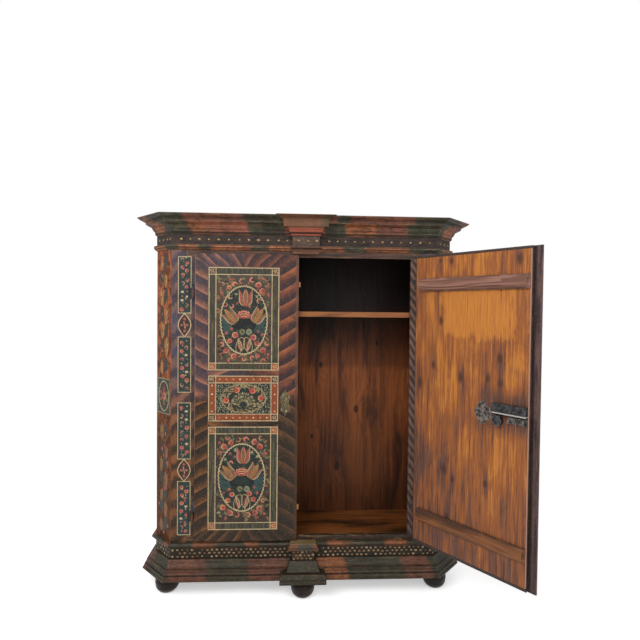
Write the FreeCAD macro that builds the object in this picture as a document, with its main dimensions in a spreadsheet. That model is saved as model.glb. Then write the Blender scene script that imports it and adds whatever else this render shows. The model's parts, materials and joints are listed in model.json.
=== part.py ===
import FreeCAD, Part
import math
import os
import Sketcher

# A painted two-door country wardrobe that comes apart in three boxes: a plinth
# on ball feet, the case with its doors, and a crown with a moulded cornice.
# X runs to the right, Y into the case from its front face, Z up from the floor.

os.makedirs("parts", exist_ok=True)
doc = FreeCAD.newDocument("Wardrobe")
sheet = doc.addObject("Spreadsheet::Sheet", "Sizes")
V = FreeCAD.Vector


class Length:
    """A length with its number and the formula that drives it in the document."""

    def __init__(self, number, formula):
        self.number = number
        self.formula = formula

    def __add__(self, other):
        other = as_length(other)
        return Length(self.number + other.number, f"({self.formula} + {other.formula})")

    def __sub__(self, other):
        other = as_length(other)
        return Length(self.number - other.number, f"({self.formula} - {other.formula})")

    def __mul__(self, share):
        return Length(self.number * share, f"({self.formula} * {share!r})")

    def __neg__(self):
        return Length(-self.number, f"(0 - {self.formula})")

    __radd__ = __add__
    __rmul__ = __mul__

    def __rsub__(self, other):
        return as_length(other) - self


def as_length(value):
    return value if isinstance(value, Length) else Length(float(value), repr(float(value)))


def size(name, number):
    row = size.rows = size.rows + 1
    sheet.set(f"A{row}", str(number))
    sheet.setAlias(f"A{row}", name)
    return Length(float(number), f"Sizes.{name}")


size.rows = 0

# Plan of the case: a straight front, a cant of 45 degrees at each corner, the sides.
front_half = size("front_half", 666)
cant_depth = size("cant_depth", 99)
case_half = front_half + cant_depth
case_depth = size("case_depth", 385)
board = size("board", 22)
back_board = size("back_board", 18)
back_rebate = size("back_rebate", 10)
frieze_out = size("frieze_out", 2)

# Heights of the three boxes, each standing on the one below.
foot_height = size("foot_height", 97)
plinth_high = size("plinth_high", 153)
case_high = size("case_high", 1495)
crown_high = size("crown_high", 123)
cornice_high = size("cornice_high", 32)
plinth_top = foot_height + plinth_high
case_top = plinth_top + case_high
frieze_top = case_top + crown_high
total_height = frieze_top + cornice_high

# Plinth.
plinth_thick = size("plinth_thick", 34)
floor_thick = size("floor_thick", 22)
floor_rise = size("floor_rise", 8)
floor_gap = size("floor_gap", 0.5)
cap_drop = size("cap_drop", 18)
cap_rise = size("cap_rise", 14)
cap_reach = size("cap_reach", 19)
base_high = size("base_high", 83)
base_reach = size("base_reach", 64)
foot_radius = size("foot_radius", 59)
foot_sole = size("foot_sole", 30)
dowel_radius = size("dowel_radius", 12)
dowel_length = size("dowel_length", 40)
dowel_gap = size("dowel_gap", 0.05)
foot_inset = size("foot_inset", 13)
foot_along = size("foot_along", 50)
centre_foot_out = size("centre_foot_out", 20)
rear_foot_inset = size("rear_foot_inset", 50)
floor_top = plinth_top + floor_rise
cap_low = plinth_top - cap_drop
cap_top = plinth_top + cap_rise
base_top = foot_height + base_high
rear_foot_back = case_depth - rear_foot_inset

# Case front and inside.
stile_wide = size("stile_wide", 129)
sill_high = size("sill_high", 40.6)
head_high = size("head_high", 41)
half_lap_long = size("half_lap_long", 52)
shelf_drop = size("shelf_drop", 272)
shelf_thick = size("shelf_thick", 26)
shelf_front = size("shelf_front", 26)
shelf_gap = size("shelf_gap", 1)
cleat = size("cleat", 26)
cleat_end_gap = size("cleat_end_gap", 12)
groove_wide = size("groove_wide", 2)
groove_deep = size("groove_deep", 1.5)
opening_half = front_half - stile_wide
opening_low = plinth_top + sill_high
opening_top = case_top - head_high
lap_half = opening_half + half_lap_long
shelf_top = opening_top - shelf_drop

# Crown.
cornice_reach = size("cornice_reach", 91)
roof_lap = size("roof_lap", 8)
roof_thick = size("roof_thick", 18)
cavetto_high = size("cavetto_high", 57)
cavetto_reach = size("cavetto_reach", 53)
architrave_drop = size("architrave_drop", 11)
architrave_rise = size("architrave_rise", 17)
architrave_reach = size("architrave_reach", 16)
cavetto_low = frieze_top - cavetto_high
architrave_low = case_top - architrave_drop
architrave_top = case_top + architrave_rise

# Doors: boards with a thin lip that lies on the front of the case.
door_out = size("door_out", 11)
door_in = size("door_in", 13)
lip_side = size("lip_side", 11)
lip_below = size("lip_below", 19.6)
lip_above = size("lip_above", 12)
play_side = size("play_side", 2)
play_below = size("play_below", 1.9)
play_above = size("play_above", 2)
left_edge = size("left_edge", 33.8)
right_edge = size("right_edge", 31.8)
worn_arris = size("worn_arris", 1.5)
lesene_half = size("lesene_half", 68)
lesene_out = size("lesene_out", 27)
lesene_gap = size("lesene_gap", 0.6)
lesene_edge = size("lesene_edge", 9)
batten_out = size("batten_out", 35)
batten_high = size("batten_high", 62)
batten_short = size("batten_short", 27)
top_batten_drop = size("top_batten_drop", 164)
bottom_batten_rise = size("bottom_batten_rise", 104.5)
batten_shoulder = size("batten_shoulder", 22)
right_tongue = size("right_tongue", 32)
left_tongue = size("left_tongue", 25)
right_tongue_out = size("right_tongue_out", 23)
left_tongue_in = size("left_tongue_in", 24)
lip_half = opening_half + lip_side
lip_low = opening_low - lip_below
lip_top = opening_top + lip_above
inner_half = opening_half - play_side
inner_low = opening_low + play_below
inner_top = opening_top - play_above
batten_half = opening_half - batten_short
top_batten_low = inner_top - top_batten_drop
bottom_batten_low = inner_low + bottom_batten_rise

# Hinges that lift off: the door half drops over a pin on the frame half.
hinge_side = size("hinge_side", 21)
hinge_out = size("hinge_out", 8)
rest_angle = size("rest_angle", 129.1)
knuckle_radius = size("knuckle_radius", 5)
pin_radius = size("pin_radius", 3)
pin_gap = size("pin_gap", 0.06)
knuckle_gap = size("knuckle_gap", 0.5)
knuckle_high = size("knuckle_high", 55)
pin_high = size("pin_high", 40)
leaf_thick = size("leaf_thick", 2.5)
leaf_side = size("leaf_side", 15)
leaf_wide = size("leaf_wide", 32)
web_half = size("web_half", 2)
upper_hinge_drop = size("upper_hinge_drop", 226)
lower_hinge_rise = size("lower_hinge_rise", 99)
hinge_x = opening_half + hinge_side
leaf_start = opening_half + leaf_side
leaf_end = leaf_start + leaf_wide
upper_hinge_low = lip_top - upper_hinge_drop
lower_hinge_low = lip_low + lower_hinge_rise

# Ironwork.
plate_thick = size("plate_thick", 1.5)
lock_height = size("lock_height", 753)
lock_case_high = size("lock_case_high", 45)
lock_case_far = size("lock_case_far", 118)
lock_case_near = size("lock_case_near", 30)
lock_proud = size("lock_proud", 26)
lock_chamfer = size("lock_chamfer", 4)
lock_case_low = plinth_top + lock_height
lock_case_top = lock_case_low + lock_case_high
escutcheon_middle = size("escutcheon_middle", 97)
escutcheon_half = size("escutcheon_half", 22)
escutcheon_drop = size("escutcheon_drop", 96)
escutcheon_high = size("escutcheon_high", 130)
escutcheon_low = lock_case_low - escutcheon_drop
lock_plate_start = size("lock_plate_start", 130)
lock_plate_long = size("lock_plate_long", 75)
lock_plate_drop = size("lock_plate_drop", 9)
lock_plate_high = size("lock_plate_high", 99)
lock_plate_middle = lock_case_low - lock_plate_drop
boss_x = size("boss_x", 94)
boss_drop = size("boss_drop", 28)
boss_radius = size("boss_radius", 21.5)
boss_z = lock_case_low - boss_drop
lock_bolt_far = size("lock_bolt_far", 49)
lock_bolt_near = size("lock_bolt_near", 31)
lock_bolt_drop = size("lock_bolt_drop", 33)
lock_bolt_high = size("lock_bolt_high", 24)
lock_bolt_low = lock_case_low - lock_bolt_drop
bolt_thick = size("bolt_thick", 8)
bolt_gap = size("bolt_gap", 0.4)
strap_thick = size("strap_thick", 3)
strap_wide = size("strap_wide", 8)
strap_far = size("strap_far", 8)
strap_near = size("strap_near", 26)
knob_radius = size("knob_radius", 6)
knob_long = size("knob_long", 12)
keeper_near = size("keeper_near", 40)
keeper_far = size("keeper_far", 50)
mortise_rise = size("mortise_rise", 5)
mortise_high = size("mortise_high", 30)
mortise_deep = size("mortise_deep", 22)
mortise_half = size("mortise_half", 5)
mortise_middle = size("mortise_middle", 1)
mortise_top = lock_case_low + mortise_rise
slide_x = size("slide_x", 64)
slide_half = size("slide_half", 6)
slide_in = size("slide_in", 23)
slide_thick = size("slide_thick", 6)
slide_inset = size("slide_inset", 4)
top_slide_long = size("top_slide_long", 86)
bottom_slide_long = size("bottom_slide_long", 87)
top_slide_top = inner_top - slide_inset
top_slide_low = top_slide_top - top_slide_long
bottom_slide_low = inner_low + slide_inset
bottom_slide_top = bottom_slide_low + bottom_slide_long
staple_high = size("staple_high", 10)
staple_inset = size("staple_inset", 10)

# Centre blocks break the mouldings forward in the middle of crown and plinth.
crown_block_drop = size("crown_block_drop", 26)
crown_block_half = size("crown_block_half", 146)
crown_block_out = size("crown_block_out", 110)
block_rise = size("block_rise", 6)
plinth_block_half = size("plinth_block_half", 115)
plinth_block_out = size("plinth_block_out", 105)
crown_block_low = case_top - crown_block_drop
plinth_block_top = cap_top + block_rise

mitre_share = math.tan(math.radians(22.5))
stretch_share = 1 / math.cos(math.radians(22.5))
doc.recompute()


def plane_of(body, role):
    return next(f for f in body.Origin.OriginFeatures if f.Role == role)


def bind(owner, path, length):
    """Set a number and the formula that drives it."""
    owner.setExpression(path, as_length(length).formula)


def fixed_point(sketch, index, end, point):
    for kind, coordinate in zip(("DistanceX", "DistanceY"), point):
        length = as_length(coordinate)
        at = sketch.addConstraint(Sketcher.Constraint(kind, -1, 1, index, end, length.number))
        if length.formula != "0.0":
            sketch.setExpression(f"Constraints[{at}]", length.formula)


def add_loop(sketch, points):
    """Draw one closed outline. A third entry on a point bows the edge after it."""
    first = sketch.GeometryCount
    count = len(points)
    flat = [V(as_length(p[0]).number, as_length(p[1]).number, 0) for p in points]
    for i, start in enumerate(flat):
        end = flat[(i + 1) % count]
        bow = points[i][2] if len(points[i]) > 2 else 0
        if bow:
            chord = end - start
            middle = (start + end) * 0.5 + V(chord.y, -chord.x, 0) * bow
            sketch.addGeometry(Part.Arc(start, middle, end), False)
        else:
            sketch.addGeometry(Part.LineSegment(start, end), False)

    def end_of(i, at):
        return 1 if (sketch.getPoint(first + i, 1) - at).Length < 1e-6 else 2

    for i, start in enumerate(flat):
        before = (i - 1) % count
        sketch.addConstraint(Sketcher.Constraint(
            "Coincident", first + before, end_of(before, start), first + i, end_of(i, start)))
    for i, start in enumerate(flat):
        fixed_point(sketch, first + i, end_of(i, start), points[i])
        bow = points[i][2] if len(points[i]) > 2 else 0
        if bow:
            end = points[(i + 1) % count]
            across = as_length(end[0]) - as_length(points[i][0])
            upward = as_length(end[1]) - as_length(points[i][1])
            radius_share = (0.25 + bow * bow) / (2 * abs(bow))
            radius = math.hypot(across.number, upward.number) * radius_share
            at = sketch.addConstraint(Sketcher.Constraint("Radius", first + i, radius))
            sketch.setExpression(
                f"Constraints[{at}]",
                f"sqrt({across.formula}^2 + {upward.formula}^2) * {radius_share!r}")


def add_circle(sketch, middle, radius):
    at = sketch.GeometryCount
    centre = V(as_length(middle[0]).number, as_length(middle[1]).number, 0)
    sketch.addGeometry(Part.Circle(centre, V(0, 0, 1), radius.number), False)
    fixed_point(sketch, at, 3, middle)
    row = sketch.addConstraint(Sketcher.Constraint("Radius", at, radius.number))
    sketch.setExpression(f"Constraints[{row}]", radius.formula)


def new_sketch(body, role, loops, off=0, circles=()):
    """Sketch on one of the body's own planes, moved along its normal by off."""
    sketch = body.newObject("Sketcher::SketchObject", "Outline")
    sketch.AttachmentSupport = (plane_of(body, role), [""])
    sketch.MapMode = "FlatFace"
    if as_length(off).number:
        bind(sketch, ".AttachmentOffset.Base.z", off)
    for points in loops:
        add_loop(sketch, points)
    for middle, radius in circles:
        add_circle(sketch, middle, radius)
    return sketch


def new_body(label):
    body = doc.addObject("PartDesign::Body", label)
    body.Label = label
    return body


def pad(body, sketch, length):
    feature = body.newObject("PartDesign::Pad", "Pad")
    feature.Profile = (sketch, [""])
    bind(feature, "Length", length)
    return feature


def pocket(body, sketch, length, towards_normal=False):
    """Cut away, and check that wood or iron really went."""
    doc.recompute()
    before = body.Shape.Volume
    feature = body.newObject("PartDesign::Pocket", "Pocket")
    feature.Profile = (sketch, [""])
    feature.Reversed = towards_normal
    bind(feature, "Length", length)
    doc.recompute()
    if not body.Shape.Volume < before:
        raise RuntimeError(f"{body.Label}: the cut removed nothing")
    return feature


def prism(label, role, loops, off, length, circles=()):
    body = new_body(label)
    pad(body, new_sketch(body, role, loops, off, circles), length)
    return body


def stack(body, role, sections):
    """A ruled loft through outlines that lie at several heights over one plane."""
    sketches = [new_sketch(body, role, [points], off) for off, points in sections]
    feature = body.newObject("PartDesign::AdditiveLoft", "Loft")
    feature.Profile = (sketches[0], [""])
    feature.Sections = sketches[1:]
    feature.Ruled = True
    return feature


def box_points(x_low, x_high, y_low, y_high):
    return [(x_low, y_low), (x_high, y_low), (x_high, y_high), (x_low, y_high)]


def front_corner(side, out):
    """Corner between front and cant, for a face that stands out by this much."""
    return (front_half + out * mitre_share) * side, -out


def side_corner(side, out):
    return (case_half + out) * side, cant_depth - out * mitre_share


def mitred_sketches(body, profile, stations):
    """One outline of (out, up) points at each station, stretched where the mitre slants."""
    sketches = []
    for across, depth, azimuth, stretch in stations:
        points = [(as_length(p[0]) * stretch, *p[1:]) for p in profile]
        sketch = new_sketch(body, "XZ_Plane", [points], -as_length(depth))
        sketch.AttachmentOffset = FreeCAD.Placement(
            V(as_length(across).number, 0, -as_length(depth).number),
            FreeCAD.Rotation(V(0, 1, 0), azimuth))
        bind(sketch, ".AttachmentOffset.Base.x", across)
        bind(sketch, ".AttachmentOffset.Base.z", -as_length(depth))
        sketches.append(sketch)
    return sketches


def moulding(label, profile, stations):
    """Run one profile round the plan, mitred at each station."""
    body = new_body(label)
    sketches = mitred_sketches(body, profile, stations)
    feature = body.newObject("PartDesign::AdditiveLoft", "Loft")
    feature.Profile = (sketches[0], [""])
    feature.Sections = sketches[1:]
    feature.Ruled = True
    return body


def front_run():
    return [(-front_half, 0, -112.5, stretch_share), (front_half, 0, -67.5, stretch_share)]


def return_run(side):
    """Stations of a cant and the side behind it."""
    start, middle, end = (-67.5, -22.5, 0) if side > 0 else (-112.5, -157.5, 180)
    return [
        (front_half * side, 0, start, stretch_share),
        (case_half * side, cant_depth, middle, stretch_share),
        (case_half * side, case_depth, end, 1),
    ]


def run_all_round(name, profile):
    return [
        moulding(f"{name}_front", profile, front_run()),
        moulding(f"{name}_left", profile, return_run(-1)),
        moulding(f"{name}_right", profile, return_run(1)),
    ]


sides = (("left", -1), ("right", 1))

# Plinth boards: rebated inside so that the floor boards drop in.
floor_low = floor_top - floor_thick
plinth_inner = frieze_out - plinth_thick
plinth_profile = [
    (frieze_out, foot_height),
    (frieze_out, plinth_top),
    (-board, plinth_top),
    (-board, floor_low),
    (plinth_inner, floor_low),
    (plinth_inner, foot_height),
]
plinth_front, plinth_left, plinth_right = run_all_round("plinth_board", plinth_profile)
back_inner = case_depth + plinth_inner
inside_back = case_depth - back_board
plinth_rail = new_body("plinth_back_rail")
rail_outline = [
    (back_inner, foot_height),
    (case_depth, foot_height),
    (case_depth, plinth_top),
    (inside_back, plinth_top),
    (inside_back, floor_low),
    (back_inner, floor_low),
]
rail_half = case_half + plinth_inner
pad(plinth_rail, new_sketch(plinth_rail, "YZ_Plane", [rail_outline], -rail_half), rail_half * 2)
floor_edge = board + floor_gap
floor_outline = [
    front_corner(-1, -floor_edge),
    front_corner(1, -floor_edge),
    side_corner(1, -floor_edge),
    (case_half - floor_edge, inside_back - floor_gap),
    (-case_half + floor_edge, inside_back - floor_gap),
    side_corner(-1, -floor_edge),
]
floor_boards = prism("floor_boards", "XY_Plane", [floor_outline], floor_low, floor_thick)

# Plinth cap: a flat top with a rounded nose. It hides the joint of case and plinth.
cap_shares = [(0.84, 1.0, -0.30), (0.86, 0.42), (0.52, 0.36), (0.38, 0.14, 0.12), (0.10, 0.0)]
cap_high = cap_top - cap_low
plinth_cap_profile = [(0, cap_top)]
for out_share, up_share, *bow in cap_shares:
    plinth_cap_profile.append(
        (cap_reach * out_share, cap_low + cap_high * up_share, *bow))
plinth_cap_profile[-1] = (frieze_out, cap_low)
plinth_cap_profile += [(frieze_out, plinth_top), (0, plinth_top)]
plinth_caps = run_all_round("plinth_cap", plinth_cap_profile)

# Base moulding: fillet, ovolo, groove, bead, band and a bottom fillet.
base_shares = [
    (0.16, 1.0), (0.22, 0.95), (0.22, 0.905, 0.20), (0.625, 0.60), (0.64, 0.545), (0.72, 0.51, 0.28),
    (0.72, 0.325), (0.735, 0.29), (0.86, 0.265), (0.875, 0.095), (0.97, 0.075), (1.0, 0.0),
]
base_profile = [(frieze_out, foot_height), (frieze_out, base_top)]
for out_share, up_share, *bow in base_shares:
    base_profile.append(
        (base_reach * out_share, foot_height + base_high * up_share, *bow))
base_front, base_left, base_right = run_all_round("base_moulding", base_profile)


def bore(body, middle):
    """Bore a dowel hole up into the underside of the plinth."""
    hole = new_sketch(body, "XY_Plane", [], foot_height, [(middle, dowel_radius)])
    pocket(body, hole, dowel_length + dowel_gap, True)


# Ball feet, turned, with a dowel that stands in the plinth.
def foot(label, across, depth):
    body = new_body(label)
    dowel = dowel_radius - dowel_gap
    outline = [
        (0, 0),
        (foot_sole, 0, 0.16),
        (foot_radius, foot_height * 0.44, 0.22),
        (foot_radius * 0.60, foot_height * 0.86),
        (foot_radius * 0.56, foot_height * 0.90, -0.2),
        (foot_radius * 0.64, foot_height),
        (dowel, foot_height),
        (dowel, foot_height + dowel_length),
        (0, foot_height + dowel_length),
    ]
    sketch = new_sketch(body, "XZ_Plane", [outline])
    turned = body.newObject("PartDesign::Revolution", "Turned")
    turned.Profile = (sketch, [""])
    turned.ReferenceAxis = (sketch, ["V_Axis"])
    turned.Angle = 360
    bind(body, ".Placement.Base.x", across)
    bind(body, ".Placement.Base.y", depth)
    return body


diagonal_share = math.sqrt(0.5)
foot_x = front_half + (foot_along - foot_inset) * diagonal_share
foot_y = (foot_along + foot_inset) * diagonal_share
rear_foot_x = case_half - foot_inset
for name, side in sides:
    foot(f"foot_front_{name}", foot_x * side, foot_y)
foot("foot_centre", 0, -centre_foot_out)
rear = [foot(f"rear_ball_{name}", rear_foot_x * side, rear_foot_back) for name, side in sides]
rear_feet = doc.addObject("Part::Compound", "feet_rear")
rear_feet.Links = rear
bore(base_front, (0, -centre_foot_out))
for body, side in ((plinth_left, -1), (plinth_right, 1)):
    bore(body, (foot_x * side, foot_y))
    bore(body, (rear_foot_x * side, rear_foot_back))

# Case: sides, cants and stiles are boards mitred along their long edges.
for name, side in sides:
    cant = [
        front_corner(side, 0),
        side_corner(side, 0),
        side_corner(side, -board),
        front_corner(side, -board),
    ]
    prism(f"cant_board_{name}", "XY_Plane", [cant], plinth_top, case_high)
    side_board = [
        side_corner(side, 0),
        (case_half * side, case_depth),
        ((case_half - back_rebate) * side, case_depth),
        ((case_half - back_rebate) * side, inside_back),
        ((case_half - board) * side, inside_back),
        side_corner(side, -board),
    ]
    prism(f"side_board_{name}", "XY_Plane", [side_board], plinth_top, case_high)
    stile_outline = [
        (opening_half * side, 0),
        front_corner(side, 0),
        front_corner(side, -board),
        (opening_half * side, board),
    ]
    stile = prism(f"front_stile_{name}", "XY_Plane", [stile_outline], plinth_top, case_high)
    for low, high in ((plinth_top, opening_low), (opening_top, case_top)):
        notch = box_points(opening_half * side, lap_half * side, low, high)
        cut = new_sketch(stile, "XZ_Plane", [notch], 0)
        pocket(stile, cut, board * 0.5)

# Rails halved over the stiles, with the front half running further out.
for label, low, high in (
    ("bottom_rail", plinth_top, opening_low),
    ("head_rail", opening_top, case_top),
):
    half_lap = board * 0.5
    outline = [
        (-lap_half, 0),
        (lap_half, 0),
        (lap_half, half_lap),
        (opening_half, half_lap),
        (opening_half, board),
        (-opening_half, board),
        (-opening_half, half_lap),
        (-lap_half, half_lap),
    ]
    prism(label, "XY_Plane", [outline], low, high - low)


def plank_grooves(body, role, off, starts, low, high, along_x=False, towards_normal=False):
    """Open the joints between boards as fine grooves."""
    loops = []
    for start in starts:
        if along_x:
            loops.append(box_points(low, high, start, start + groove_wide))
        else:
            loops.append(box_points(start, start + groove_wide, low, high))
    pocket(body, new_sketch(body, role, loops, off), groove_deep, towards_normal)


back_half = case_half - back_rebate
back_outline = box_points(-back_half, back_half, plinth_top, case_top)
back_boards = prism("back_boards", "XZ_Plane", [back_outline], -case_depth, back_board)
back_joint_shares = (-0.70, -0.37, -0.04, 0.31, 0.66)
plank_grooves(back_boards, "XZ_Plane", -inside_back,
              [back_half * share for share in back_joint_shares], plinth_top, case_top)
floor_joint_shares = (0.30, 0.64)
plank_grooves(floor_boards, "XY_Plane", floor_top,
              [inside_back * share for share in floor_joint_shares],
              -case_half + board * 2, case_half - board * 2, along_x=True)

# Shelf with clipped front corners on two cleats.
shelf_edge = board + shelf_gap
shelf_corner = shelf_front + front_half - shelf_edge - shelf_edge * mitre_share
shelf_outline = [
    (-shelf_corner, shelf_front),
    (shelf_corner, shelf_front),
    side_corner(1, -shelf_edge),
    (case_half - shelf_edge, inside_back - shelf_gap),
    (-case_half + shelf_edge, inside_back - shelf_gap),
    side_corner(-1, -shelf_edge),
]
shelf_low = shelf_top - shelf_thick
prism("shelf", "XY_Plane", [shelf_outline], shelf_low, shelf_thick)
cleats = []
for name, side in sides:
    wall = (case_half - board) * side
    outline = [
        (wall, shelf_low - cleat),
        (wall, shelf_low),
        (wall - cleat * side, shelf_low),
        (wall - cleat * side, shelf_low - cleat * 0.6),
        (wall - cleat * (0.6 * side), shelf_low - cleat),
    ]
    cleat_back = inside_back - cleat_end_gap
    cleat_long = cleat_back - cant_depth - board
    cleats.append(prism(f"cleat_{name}", "XZ_Plane", [outline], -cleat_back, cleat_long))
shelf_cleats = doc.addObject("Part::Compound", "shelf_cleats")
shelf_cleats.Links = cleats

# Crown box: frieze boards, back rail and the roof boards that lie in behind the cap.
frieze_inner = frieze_out - board
frieze_profile = [
    (frieze_out, case_top),
    (frieze_out, frieze_top),
    (frieze_inner, frieze_top),
    (frieze_inner, case_top),
]
run_all_round("frieze_board", frieze_profile)
crown_rail_half = case_half + frieze_inner
crown_rail = [
    (case_depth - board, case_top),
    (case_depth, case_top),
    (case_depth, frieze_top),
    (case_depth - board, frieze_top),
]
prism("crown_back_rail", "YZ_Plane", [crown_rail], -crown_rail_half, crown_rail_half * 2)
roof_outline = [
    front_corner(-1, -roof_lap),
    front_corner(1, -roof_lap),
    side_corner(1, -roof_lap),
    (case_half - roof_lap, case_depth),
    (-case_half + roof_lap, case_depth),
    side_corner(-1, -roof_lap),
]
roof_boards = prism("roof_boards", "XY_Plane", [roof_outline], frieze_top, roof_thick)
roof_joint_shares = (0.28, 0.60)
plank_grooves(roof_boards, "XY_Plane", frieze_top + roof_thick,
              [case_depth * share for share in roof_joint_shares],
              -front_half, front_half, along_x=True)

# Cornice cap: a fascia under a flare that runs out to a sharp tip.
crown_cap_shares = [
    (0.58, 0.0), (0.605, 0.50), (0.64, 0.56, 0.14), (0.97, 0.86), (1.0, 0.88), (1.0, 1.0),
]
cornice_profile = [(-roof_lap, total_height), (-roof_lap, frieze_top)]
for out_share, up_share, *bow in crown_cap_shares:
    cornice_profile.append(
        (cornice_reach * out_share, frieze_top + cornice_high * up_share, *bow))
run_all_round("cornice_cap", cornice_profile)

# Cavetto under it: fillet, hollow and a sloping soffit.
cavetto_shares = [
    (0.19, 0.105), (0.225, 0.35, 0.10), (0.49, 0.77), (0.56, 0.80), (1.0, 0.97), (1.0, 1.0),
]
cavetto_profile = [(frieze_out, frieze_top), (frieze_out, cavetto_low)]
for out_share, up_share, *bow in cavetto_shares:
    cavetto_profile.append(
        (cavetto_reach * out_share, cavetto_low + cavetto_high * up_share, *bow))
run_all_round("cavetto", cavetto_profile)

# Architrave: hides the joint of crown and case.
architrave_shares = [(0.70, 0.25, 0.10), (1.0, 0.60), (0.94, 0.93)]
architrave_high = architrave_top - architrave_low
architrave_profile = [
    (frieze_out, architrave_top),
    (frieze_out, case_top),
    (0, case_top),
    (0, architrave_low),
    (architrave_reach * 0.2, architrave_low),
]
for out_share, up_share, *bow in architrave_shares:
    architrave_profile.append(
        (architrave_reach * out_share, architrave_low + architrave_high * up_share, *bow))
run_all_round("architrave", architrave_profile)


def turned_round(points):
    """The same path from its other end, each bow kept on its own edge."""
    path = []
    for i in range(len(points) - 1, -1, -1):
        bow = [-b for b in points[i - 1][2:]] if i else []
        path.append((points[i][0], points[i][1], *bow))
    return path


def tier(half, out, inner=0):
    return [(-half, inner), (half, inner), (half, -out), (-half, -out)]


# Crown centre block: stacked tiers scribed over the mouldings behind.
block_tier_shares = [
    (0.0, 0.43, 0.18), (0.10, 0.47, 0.22), (0.17, 0.535, 0.365), (0.205, 0.535, 0.365),
    (0.212, 0.46, 0.225), (0.485, 0.46, 0.225), (0.495, 0.49, 0.275), (0.70, 0.615, 0.60),
    (0.712, 0.745, 0.645), (0.83, 0.76, 0.68), (0.915, 0.775, 0.70), (0.985, 0.985, 0.975),
    (1.0, 1.0, 1.0),
]
block_high = total_height - crown_block_low
crown_block = new_body("crown_centre_block")
stack(crown_block, "XY_Plane", [
    (crown_block_low + block_high * up_share,
     tier(crown_block_half * half_share, crown_block_out * out_share))
    for up_share, half_share, out_share in block_tier_shares
])


def scribe(body, points):
    """Cut the back of a block to what it sits on: (out, up) points, swept as the mouldings are."""
    doc.recompute()
    before = body.Shape.Volume
    sketches = mitred_sketches(body, points, front_run())
    feature = body.newObject("PartDesign::SubtractiveLoft", "Scribed")
    feature.Profile = (sketches[0], [""])
    feature.Sections = sketches[1:]
    feature.Ruled = True
    doc.recompute()
    if not body.Shape.Volume < before:
        raise RuntimeError(f"{body.Label}: the scribe removed nothing")


cornice_face = cornice_profile[2:]
scribe(crown_block, [
    (-board, crown_block_low - board),
    (0, crown_block_low - board),
    *architrave_profile[3:],
    (frieze_out, architrave_top),
    *cavetto_profile[1:],
    *cornice_face,
    (cornice_reach, total_height + board),
    (-board, total_height + board),
])

# Plinth centre block: a wide foot, a sloping neck, the dotted block and a flaring cap.
plinth_tier_shares = [
    (0.0, 1.0, 1.0), (0.16, 1.0, 1.0), (0.26, 0.915, 0.905), (0.275, 0.70, 0.72), (0.51, 0.565, 0.43),
    (0.522, 0.487, 0.335), (0.80, 0.487, 0.335), (0.815, 0.65, 0.50), (0.86, 0.665, 0.52),
    (0.975, 0.575, 0.43), (1.0, 0.56, 0.415),
]
plinth_block_high = plinth_block_top - foot_height
plinth_block = new_body("plinth_centre_block")
stack(plinth_block, "XY_Plane", [
    (foot_height + plinth_block_high * up_share,
     tier(plinth_block_half * half_share, plinth_block_out * out_share))
    for up_share, half_share, out_share in plinth_tier_shares
])
scribe(plinth_block, [
    (-board, plinth_block_top + board),
    (-board, foot_height - board),
    (base_reach, foot_height - board),
    *turned_round(base_profile[1:]),
    *turned_round(plinth_cap_profile[:-2]),
    (0, plinth_block_top + board),
])


def door_boards(label, side, meeting):
    """Vertical boards, rebated on three edges so that a lip lies on the case."""
    body = new_body(label)
    arris = worn_arris
    lips = [
        (0, meeting * side, lip_half * side, lip_low, lip_top),
        (door_out - arris, meeting * side, lip_half * side, lip_low, lip_top),
        (door_out, (meeting + arris) * side, (lip_half - arris) * side,
         lip_low + arris, lip_top - arris),
    ]
    stack(body, "XZ_Plane", [(off, box_points(a, b, low, high)) for off, a, b, low, high in lips])
    inner = box_points(meeting * side, inner_half * side, inner_low, inner_top)
    pad(body, new_sketch(body, "XZ_Plane", [inner], -door_in), door_in)
    return body


def batten_profile(low):
    """Section of a batten: chamfered edges and a raised middle."""
    proud = batten_out - door_in
    outline = []
    for out_share, up_share in ((0, 0), (0.42, 0), (0.66, 0.14), (0.72, 0.22), (1, 0.30),
                                (1, 0.70), (0.72, 0.78), (0.66, 0.86), (0.42, 1), (0, 1)):
        outline.append((door_in + proud * out_share, low + batten_high * up_share))
    return outline


def tongue(body, low, y_low, y_high, x_low, x_long, tall_share):
    """Half-lapped end of a batten."""
    rim = batten_high * (0.5 - 0.5 * tall_share)
    points = box_points(y_low, y_high, low + rim, low + batten_high - rim)
    pad(body, new_sketch(body, "YZ_Plane", [points], x_low), x_long)


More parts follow.
